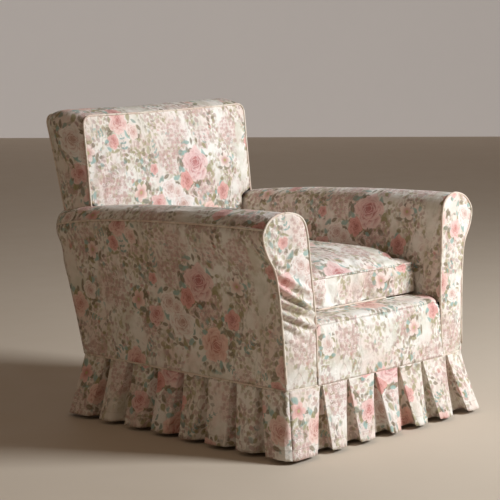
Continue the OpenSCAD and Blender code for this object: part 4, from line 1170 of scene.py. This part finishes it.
def makeBackBoxing():
    outline = backOutline(shoulderZ, 0)
    length, depth = lineLength(outline), shape["backThick"]
    folds = [(vec(-0.335, 0.33, 0.600), vec(-0.340, 0.42, 0.680), 0.014, 0.0030),
             (vec(-0.335, 0.30, 0.640), vec(-0.342, 0.39, 0.740), 0.014, 0.0025),
             (vec(0.335, 0.33, 0.600), vec(0.340, 0.42, 0.680), 0.014, 0.0025)]

    def lay(s, t, p):
        return -s * length + 0.3, -t * depth + 0.25

    mesh = panelMesh(*back["boxing"], boxingPoint, lay, (0, 0, 1), folds, back["boxingCrumple"], edge=0.03)
    piece = addPiece("back_boxing", mesh, floral)
    thicken(piece)
    fit(piece, "frame", "floral_cotton", "cover_back_boxing")


def rearHalf(z):
    armSide = acrossAt(armLine(1, topAt, 13), z) if z < armTopRear - 0.0005 else 0
    radius = shape["cornerRadius"]
    over = clamp((z - (backTop - radius)) / radius)
    return max(armSide, backHalf + shape["splay"] - radius + radius * math.sqrt(max(1 - over * over, 0)))


def makeOutsideBack():
    def place(s, t):
        z = mix(seamZ, backTop, math.sin(t * math.pi / 2) ** 0.9)
        x = (2 * s - 1) * rearHalf(z)
        return vec(x, rearY(z), z + sag(x, z))

    mesh = panelMesh(*back["outside"], place, lambda s, t, p: (-p.x, p.z + 0.1), (0, 1, 0), [],
                     back["outsideCrumple"], edge=0.04)
    piece = addPiece("outside_back", mesh, floral)
    thicken(piece)
    fit(piece, "frame", "floral_cotton", "cover_outside_back")


def makeBackPiping():
    face, rear = backOutline(shoulderZ - 0.012, 0), backOutline(armTopRear - 0.004, shape["splay"])
    lines = []
    for outline, depth in ((face, faceY), (rear, rearY)):
        dense = [pointOn(outline, i / 160) for i in range(161)]
        lines.append([vec(p[0], depth(p[1]), p[1] + sag(p[0], p[1])) for p in dense])
    piece = pipe("back_piping_cord", lines, cord, pipingCloth)
    fit(piece, "frame", "piping_cotton", "back_piping")


makeInsideBack()
makeBackBoxing()
makeOutsideBack()
makeBackPiping()
print("back made")

# skirt
skirt = dict(
    pleats=(7, 8), hemOpen=(0.062, 0.046), seamOpen=(0.006, 0.022),  # front and rear, then the sides
    depthTop=(0.008, 0.024), depthHem=(0.035, 0.037),
    rows=22, faceCols=9, topRadius=0.012, hemRadius=0.022, standOut=0.0018, frontShift=0.020,
    fullness=1.04, sharpAngle=38, seed=4)
turns = [lambda a, b: (a, -b), lambda a, b: (b, a), lambda a, b: (-a, b), lambda a, b: (-b, -a)]


def rimPoint(side, f, d):  # side 0 front, 1 right, 2 rear, 3 left; f along it as seen from outside
    out = skirt["standOut"] + (flare - skirt["standOut"]) * d ** 1.12
    radius = mix(skirt["topRadius"], skirt["hemRadius"], d)
    midY = (frontSeamY + rearSeamY) / 2
    halfX, halfY = baseHalf + out, (rearSeamY - frontSeamY) / 2 + out
    along, across = (halfX, halfY) if side % 2 == 0 else (halfY, halfX)
    arc = radius * math.pi / 4
    total = 2 * (along - radius) + 2 * arc
    where = f * total
    if where < arc:
        angle = math.pi / 4 * (1 - where / arc)
        local = (-(along - radius) - radius * math.sin(angle), across - radius + radius * math.cos(angle))
        normal = (-math.sin(angle), math.cos(angle))
    elif where > total - arc:
        angle = math.pi / 4 * (1 - (total - where) / arc)
        local = ((along - radius) + radius * math.sin(angle), across - radius + radius * math.cos(angle))
        normal = (math.sin(angle), math.cos(angle))
    else:
        local = (-(along - radius) + where - arc, across)
        normal = (0.0, 1.0)
    x, y = turns[side](*local)
    nx, ny = turns[side](*normal)
    y += midY
    bow = clamp((abs(x) - insideHalf) / (baseHalf - insideHalf)) ** 2 * (1 - ease((y - frontSeamY) / 0.25))
    return vec(x, y + shape["frontBow"] * bow * (1 - d) if y < 0 else y, 0), vec(nx, ny, 0), total


def pleatColumns(side, rng):  # each column: (share of the side, metres beside it at the hem, depth share)
    count = skirt["pleats"][side % 2]
    shift = skirt["frontShift"] if side == 0 else 0.0
    columns = []
    recesses = [(i / count + shift + rng.uniform(-0.006, 0.006), rng.uniform(0.86, 1.14),
                 rng.uniform(0.85, 1.12)) for i in range(1, count)]
    last = (0.0, 0.0, 0)
    for centre, wide, deep in recesses + [(1.0, 0.0, 0.0)]:
        columns.append((last, (centre, wide, deep)))
        last = (centre, wide, deep)
    return columns


recessShape = [  # share of the half opening, metres beside it at the hem, share of the depth
    (-1, -0.012, 0.00), (-1, -0.006, 0.02), (-1, 0.000, 0.08), (-0.82, 0, 0.26), (-0.62, 0, 0.47),
    (-0.4, 0, 0.66), (-0.15, 0, 0.81), (0.1, 0, 0.91), (0.4, 0, 0.97), (0.7, 0, 1.00),  # the soft side
    (1, 0.002, 1.02), (1, 0.009, 1.03),  # and the crisp one
    (1, 0.0150, 1.00), (1, 0.0170, 0.82), (1, 0.0130, 0.46), (1, 0.0050, 0.12), (1, 0.000, 0.00),
    (1, 0.0012, -0.02), (1, 0.004, -0.03)]


def makeSkirt():
    rng = random.Random(skirt["seed"])
    columns = []  # one dictionary for each column of the cloth, on a pleat's face or in its recess
    for side in range(4):
        opening = 0 if side % 2 == 0 else 1
        edges = pleatColumns(side, rng)
        for index, (left, right) in enumerate(edges):
            for c in range(skirt["faceCols"]):
                part = (c + 0.5) / skirt["faceCols"]
                columns.append(dict(side=side, face=(left, right, part), opening=opening,
                                    curl=rng.uniform(-0.0015, 0.0015)))
            if index < len(edges) - 1:
                for sign, beside, depth in recessShape:
                    columns.append(dict(side=side, recess=right, sign=sign, beside=beside, depth=depth,
                                        opening=opening))
    total = len(columns)
    laidLength = [0.0]

    def openHalf(column, recess, d):
        top, hem = skirt["seamOpen"][column["opening"]], skirt["hemOpen"][column["opening"]]
        return 0.5 * mix(top, hem * recess[1], d ** 0.9)

    def columnPoint(column, d):
        side = column["side"]
        length = rimPoint(side, 0.5, d)[2]
        depthHem = skirt["depthHem"][column["opening"]]
        depthHere = mix(skirt["depthTop"][column["opening"]], depthHem, d ** 0.9)
        if "recess" in column:
            recess = column["recess"]
            half = openHalf(column, recess, d)
            shrink = depthHere / depthHem
            f = recess[0] + (column["sign"] * half + column["beside"] * shrink) / length
            depth = column["depth"] * depthHere * recess[2]
        else:
            left, right, part = column["face"]
            lead = 0.0 if left[1] == 0 else (openHalf(column, left, d) + 0.006) / length
            tail = 0.0 if right[1] == 0 else (openHalf(column, right, d) + 0.014) / length
            f = mix(left[0] + lead, right[0] - tail, part)
            depth = -0.0035 * math.sin(math.pi * part) * d + column["curl"] * d
        spot, normal, around = rimPoint(side, clamp(f), d)
        return spot - normal * depth

    path = [columnPoint(c, 0.6) for c in columns]
    for a, b in zip(path, path[1:] + path[:1]):
        laidLength.append(laidLength[-1] + (b - a).length)

    def place(s, t):
        p = columnPoint(columns[round(s * total) % total], t)
        return vec(p.x, p.y, mix(seamZ, hemZ + 0.0005, t))

    def lay(s, t, p):
        return laidLength[round(s * total)], p.z + 0.14

    mesh = panelMesh(total, skirt["rows"], place, lay, (0, 0, 1), [], 0.0014, edge=0)
    outside = 0
    for face in mesh.faces:
        middle = face.calc_center_median()
        outside += math.copysign(face.calc_area(), face.normal.dot(vec(middle.x, middle.y, 0)))
    if outside < 0:
        bmesh.ops.reverse_faces(mesh, faces=mesh.faces[:])
    hemLayer = mesh.verts.layers.float.new("hem")
    for v in mesh.verts:
        v[hemLayer] = v.co.z - hemZ
    piece = addPiece("skirt", mesh, floral)
    piece.data.set_sharp_from_angle(angle=math.radians(skirt["sharpAngle"]))
    thicken(piece)
    fit(piece, "frame", "floral_cotton", "skirt_front", "skirt_back", "skirt_left", "skirt_right")


def makeSkirtPiping():
    line = []
    for side in range(4):
        for i in range(60):
            spot, normal, around = rimPoint(side, i / 60, 0)
            line.append(spot + vec(0, 0, seamZ) - normal * (skirt["standOut"] + 0.0005))
    piece = pipe("skirt_piping_cord", [line], cord, pipingCloth, closed=True)
    fit(piece, "frame", "piping_cotton", "skirt_piping")


makeSkirtPiping()
makeSkirt()
print("skirt made")

# loose seat cushion
cushion = dict(radius=0.018, crown=0.040, boxingRows=10, zoneCols=44,
               pressure=4.0, shrink=-0.05, frames=20, mass=0.3, stretch=18, shear=8, bending=0.8, pin=0.6,
               cap=0.018, lipGap=0.003, armGap=0.0025)  # the furthest it puffs, and the room it leaves
cushionLowZ = low("cushion_piping")[2] + cord
cushionTopZ = cushionLowZ + (high("cushion_boxing_strip")[2] - low("cushion_boxing_strip")[2]) + 2 * tuck
cushionFront = low("cushion_piping")[1] + cord
cushionRear = high("cushion_piping")[1] - cord
cushionHalf = high("cushion_piping")[0] - cord
cushionMidY = (cushionFront + cushionRear) / 2


def cushionPlan(s, t):  # from a square, -1 to 1, to the cushion's rounded plan
    halfX, halfY = cushionHalf, (cushionRear - cushionFront) / 2
    ring = max(abs(s), abs(t))
    x, y = halfX * abs(s), halfY * abs(t)
    centre = vec((halfX - cushion["radius"]) * ring, (halfY - cushion["radius"]) * ring)
    off = vec(x - centre[0], y - centre[1])
    if off[0] > 0 and off[1] > 0 and off.length > 1e-9:
        off = off.normalized() * max(off[0], off[1])
        x, y = centre[0] + off[0], centre[1] + off[1]
    return math.copysign(x, s), math.copysign(y, t) + cushionMidY, ring


def clearOfLip(p):  # the low part of the front stays behind the lip, so that the cushion can sink past it
    above = ease((p.z - cushionLowZ - seatSink) / 0.012)
    return vec(p.x, max(p.y, mix(lipRear + cushion["lipGap"], cushionFront - cushion["cap"], above)), p.z)


def makeCushion():
    n = cushion["zoneCols"]
    mesh = bmesh.new()
    bmesh.ops.create_grid(mesh, x_segments=n, y_segments=n, size=1.0)
    for v in mesh.verts:
        x, y, ring = cushionPlan(v.co.x, v.co.y)
        v.co = vec(x, y, cushionTopZ + cushion["crown"] * (1 - ring ** 2.4))
    clothMap = mesh.loops.layers.uv.new("Cloth")
    seamLayer = mesh.verts.layers.float.new("seam")
    edges = [e for e in mesh.edges if e.is_boundary]
    for e in edges:
        for v in e.verts:
            v[seamLayer] = 1.0
    rows = cushion["boxingRows"]
    step = (cushionTopZ - cushionLowZ) / rows
    for row in range(rows):
        made = bmesh.ops.extrude_edge_only(mesh, edges=edges)
        verts = [g for g in made["geom"] if isinstance(g, bmesh.types.BMVert)]
        edges = [g for g in made["geom"] if isinstance(g, bmesh.types.BMEdge)]
        for v in verts:
            v.co.z -= step
            v[seamLayer] = 1.0 if row == rows - 1 else 0.0
    bottom = bmesh.ops.create_grid(mesh, x_segments=n, y_segments=n, size=1.0)
    for v in bottom["verts"]:
        x, y, ring = cushionPlan(v.co.x, v.co.y)
        v.co = vec(x, y, cushionLowZ)
    bmesh.ops.remove_doubles(mesh, verts=mesh.verts[:], dist=0.0003)
    bmesh.ops.recalc_face_normals(mesh, faces=mesh.faces[:])
    for face in mesh.faces:
        facing = face.normal
        for loop in face.loops:
            p = loop.vert.co
            if abs(facing.z) > 0.35:
                loop[clothMap].uv = (p.x + 0.06, p.y + (0.36 if facing.z > 0 else 0.4))
            elif abs(facing.y) > abs(facing.x):
                loop[clothMap].uv = ((p.x if facing.y < 0 else -p.x) + 0.06, p.z - 0.66)
            else:
                loop[clothMap].uv = ((p.y if facing.x > 0 else -p.y) + 0.30, p.z - 0.66)
    return addPiece("seat_cushion_cover", mesh, floral)


def puffUp(piece):  # a short cloth simulation fills the cushion out, then is applied
    start = [v.co.copy() for v in piece.data.vertices]
    group = piece.vertex_groups.new(name="Sewn")
    for v, value in zip(piece.data.vertices, piece.data.attributes["seam"].data):
        if value.value > 0.5:
            group.add([v.index], 1.0, "REPLACE")
    cloth = piece.modifiers.new("Cloth", "CLOTH")
    cloth.settings.quality = 6
    cloth.settings.mass = cushion["mass"]
    cloth.settings.tension_stiffness = cloth.settings.compression_stiffness = cushion["stretch"]
    cloth.settings.shear_stiffness = cushion["shear"]
    cloth.settings.bending_stiffness = cushion["bending"]
    cloth.settings.use_pressure = True
    cloth.settings.uniform_pressure_force = cushion["pressure"]
    cloth.settings.shrink_min = cushion["shrink"]
    cloth.settings.effector_weights.gravity = 0
    cloth.settings.vertex_group_mass = "Sewn"
    cloth.settings.pin_stiffness = cushion["pin"]
    cloth.collision_settings.use_collision = False
    cloth.point_cache.frame_start = 1
    cloth.point_cache.frame_end = cushion["frames"]
    for step in range(1, cushion["frames"] + 1):
        bpy.context.scene.frame_set(step)
    shown = piece.evaluated_get(bpy.context.evaluated_depsgraph_get())
    ended = [v.co.copy() for v in shown.data.vertices]
    piece.modifiers.remove(cloth)
    bpy.context.scene.frame_set(1)
    for v, a, b in zip(piece.data.vertices, start, ended):
        move = b - a
        cap = cushion["cap"] if a.z > cushionTopZ - 0.03 else cushion["cap"] * 0.5
        if move.length > cap:
            move *= cap / move.length
        p = a + move
        p.z = max(p.z, cushionLowZ)
        p.x = clamp(p.x, cushion["armGap"] - insideHalf, insideHalf - cushion["armGap"])
        v.co = clearOfLip(p)


def finishCushion(piece):
    seams = {"top": [], "low": []}
    values = piece.data.attributes["seam"].data
    for v, value in zip(piece.data.vertices, values):
        if value.value > 0.5:
            seams["top" if v.co.z > (cushionTopZ + cushionLowZ) / 2 else "low"].append(v.co.copy())
    for points in seams.values():
        points.sort(key=lambda p: math.atan2(p.y - cushionMidY, p.x))
    shift = bmesh.new()
    shift.from_mesh(piece.data)
    shift.normal_update()
    folds = [(vec(-0.235, -0.330, 0.425), vec(-0.100, -0.200, 0.455), 0.016, 0.0030),
             (vec(-0.240, -0.290, 0.425), vec(-0.130, -0.130, 0.455), 0.018, 0.0028),
             (vec(-0.200, -0.345, 0.425), vec(-0.020, -0.280, 0.450), 0.014, 0.0020),
             (vec(0.235, -0.330, 0.425), vec(0.150, -0.220, 0.450), 0.014, 0.0020)]
    seamLayer = shift.verts.layers.float["seam"]
    moves = []
    for v in shift.verts:
        still = 0.0 if v[seamLayer] > 0.5 or v.co.z < cushionLowZ + 0.001 else 1.0
        top = ease((v.normal.z - 0.3) / 0.4)
        moves.append(v.normal * still * (top * foldShift(v.co, v.normal, folds) + crumple(v.co, 0.0014)))
    for v, move in zip(shift.verts, moves):
        v.co = clearOfLip(v.co + move)
    shift.to_mesh(piece.data)
    shift.free()
    smooth = piece.modifiers.new("Subdivision", "SUBSURF")
    smooth.levels = smooth.render_levels = 1
    fit(piece, "cushion", "floral_cotton", "cushion_top", "cushion_bottom", "cushion_boxing_strip",
        "cushion_core")
    for key, material in (("top", floral), ("low", pipingCloth)):
        tube = pipe(f"cushion_piping_{key}", [seams[key]], cord, material, closed=True)
        if material is floral:
            tube.data.uv_layers.new(name="Cloth")
            for loop, spot in zip(tube.data.loops, tube.data.uv_layers["Cloth"].data):
                p = tube.data.vertices[loop.vertex_index].co
                spot.uv = (p.x + 0.06, p.y + p.z + 0.36)
        fit(tube, "cushion", "piping_cotton", "cushion_piping")


seatCushion = makeCushion()
puffUp(seatCushion)
print("cushion simulated")
finishCushion(seatCushion)
print("cushion made")

# seat springs
spring = dict(pitch=0.165, rows=3, endRadius=0.042, waistRadius=0.028, wire=0.0018, turns=4.5,
              stepsPerTurn=16)


def makeSprings():
    lowSpot, highSpot = low("seat_springs"), high("seat_springs")
    midX, midY = (lowSpot[0] + highSpot[0]) / 2, (lowSpot[1] + highSpot[1]) / 2
    lines = []
    for i in range(spring["rows"]):
        for j in range(spring["rows"]):
            cx, cy = midX + (i - 1) * spring["pitch"], midY + (j - 1) * spring["pitch"]
            line = []
            steps = int(spring["turns"] * spring["stepsPerTurn"])
            for k in range(steps + 1):
                t = k / steps
                radius = mix(spring["waistRadius"], spring["endRadius"], abs(2 * t - 1) ** 1.4)
                angle = 2 * math.pi * spring["turns"] * t
                line.append(vec(cx + radius * math.cos(angle), cy + radius * math.sin(angle),
                              mix(lowSpot[2] + spring["wire"], highSpot[2] - spring["wire"], t)))
            lines.append(line)
    piece = pipe("coil_springs", lines, spring["wire"], springSteel)
    fit(piece, "frame", "spring_steel", "seat_springs")
    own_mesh(piece)


makeSprings()
print("springs made")

# floor, backdrop, light and camera
studio = dict(
    floorSize=18, wallSize=5, wallPlace=(9.0, 8.2, 4.9), wallTurn=-45, wallGlow=0.41,
    worldTint=(1.0, 0.78, 0.58, 1), worldStrength=0.13,
    lights=[("window", (2.2, -3.6, 2.7), (0, 0, 0.4), 1.5, 286, (0.90, 0.955, 1.0)),
            ("fill", (-3.2, 0.5, 2.8), (0, 0, 0.5), 2.5, 6, (1.0, 0.82, 0.66))],
    lens=119.96, cameraPlace=(-3.396, -3.068, 1.048), cameraTurn=(82.55, 0, -47.74))


def makeStageMaterial(name, first, second, glow=0.0):
    material, g, shader = newMaterial(name)
    shader.inputs["Emission Color"].default_value = dye(second)
    shader.inputs["Emission Strength"].default_value = glow
    place = g.add("ShaderNodeTexCoord").outputs["Object"]
    g.put(shader.inputs["Base Color"], g.mixColour(g.noise(place, 1.5, 3), dye(first), dye(second)))
    g.put(shader.inputs["Roughness"], g.between(g.noise(place, 8, 2), 0.3, 0.7, 0.65, 0.75))
    return material


floorMesh = bmesh.new()
bmesh.ops.create_grid(floorMesh, x_segments=4, y_segments=4, size=studio["floorSize"])
floor = addPiece("floor", floorMesh, makeStageMaterial("studio floor", "cdbdaa", "d3c4b2"), smooth=False)
wallMesh = bmesh.new()
bmesh.ops.create_grid(wallMesh, x_segments=4, y_segments=4, size=studio["wallSize"])
turnUp = Matrix.Translation(studio["wallPlace"]) @ Matrix.Rotation(math.radians(studio["wallTurn"]), 4, "Z")
turnUp = turnUp @ Matrix.Rotation(math.radians(90), 4, "X")
bmesh.ops.transform(wallMesh, matrix=turnUp, verts=wallMesh.verts[:])
wallPaint = makeStageMaterial("studio wall", "cac4c0", "d0cac6", studio["wallGlow"])
backdrop = addPiece("backdrop", wallMesh, wallPaint, smooth=False)

world = bpy.data.worlds.new("studio")
bpy.context.scene.world = world
world.use_nodes = True
world.node_tree.nodes["Background"].inputs["Color"].default_value = studio["worldTint"]
world.node_tree.nodes["Background"].inputs["Strength"].default_value = studio["worldStrength"]


def addLight(name, place, target, size, power, tint):
    data = bpy.data.lights.new(name, "AREA")
    data.shape = "RECTANGLE"
    data.size = data.size_y = size
    data.energy = power
    data.color = tint
    lamp = bpy.data.objects.new(name, data)
    lamp.location = place
    lamp.rotation_euler = (Vector(target) - Vector(place)).to_track_quat("-Z", "Y").to_euler()
    bpy.context.scene.collection.objects.link(lamp)


for settings in studio["lights"]:
    addLight(*settings)

cameraData = bpy.data.cameras.new("camera")
cameraData.lens = studio["lens"]
cameraData.sensor_width = 36
camera = bpy.data.objects.new("camera", cameraData)
camera.location = studio["cameraPlace"]
camera.rotation_euler = [math.radians(a) for a in studio["cameraTurn"]]
bpy.context.scene.collection.objects.link(camera)
bpy.context.scene.camera = camera
bpy.context.scene.view_settings.view_transform = "Standard"
print("stage ready")
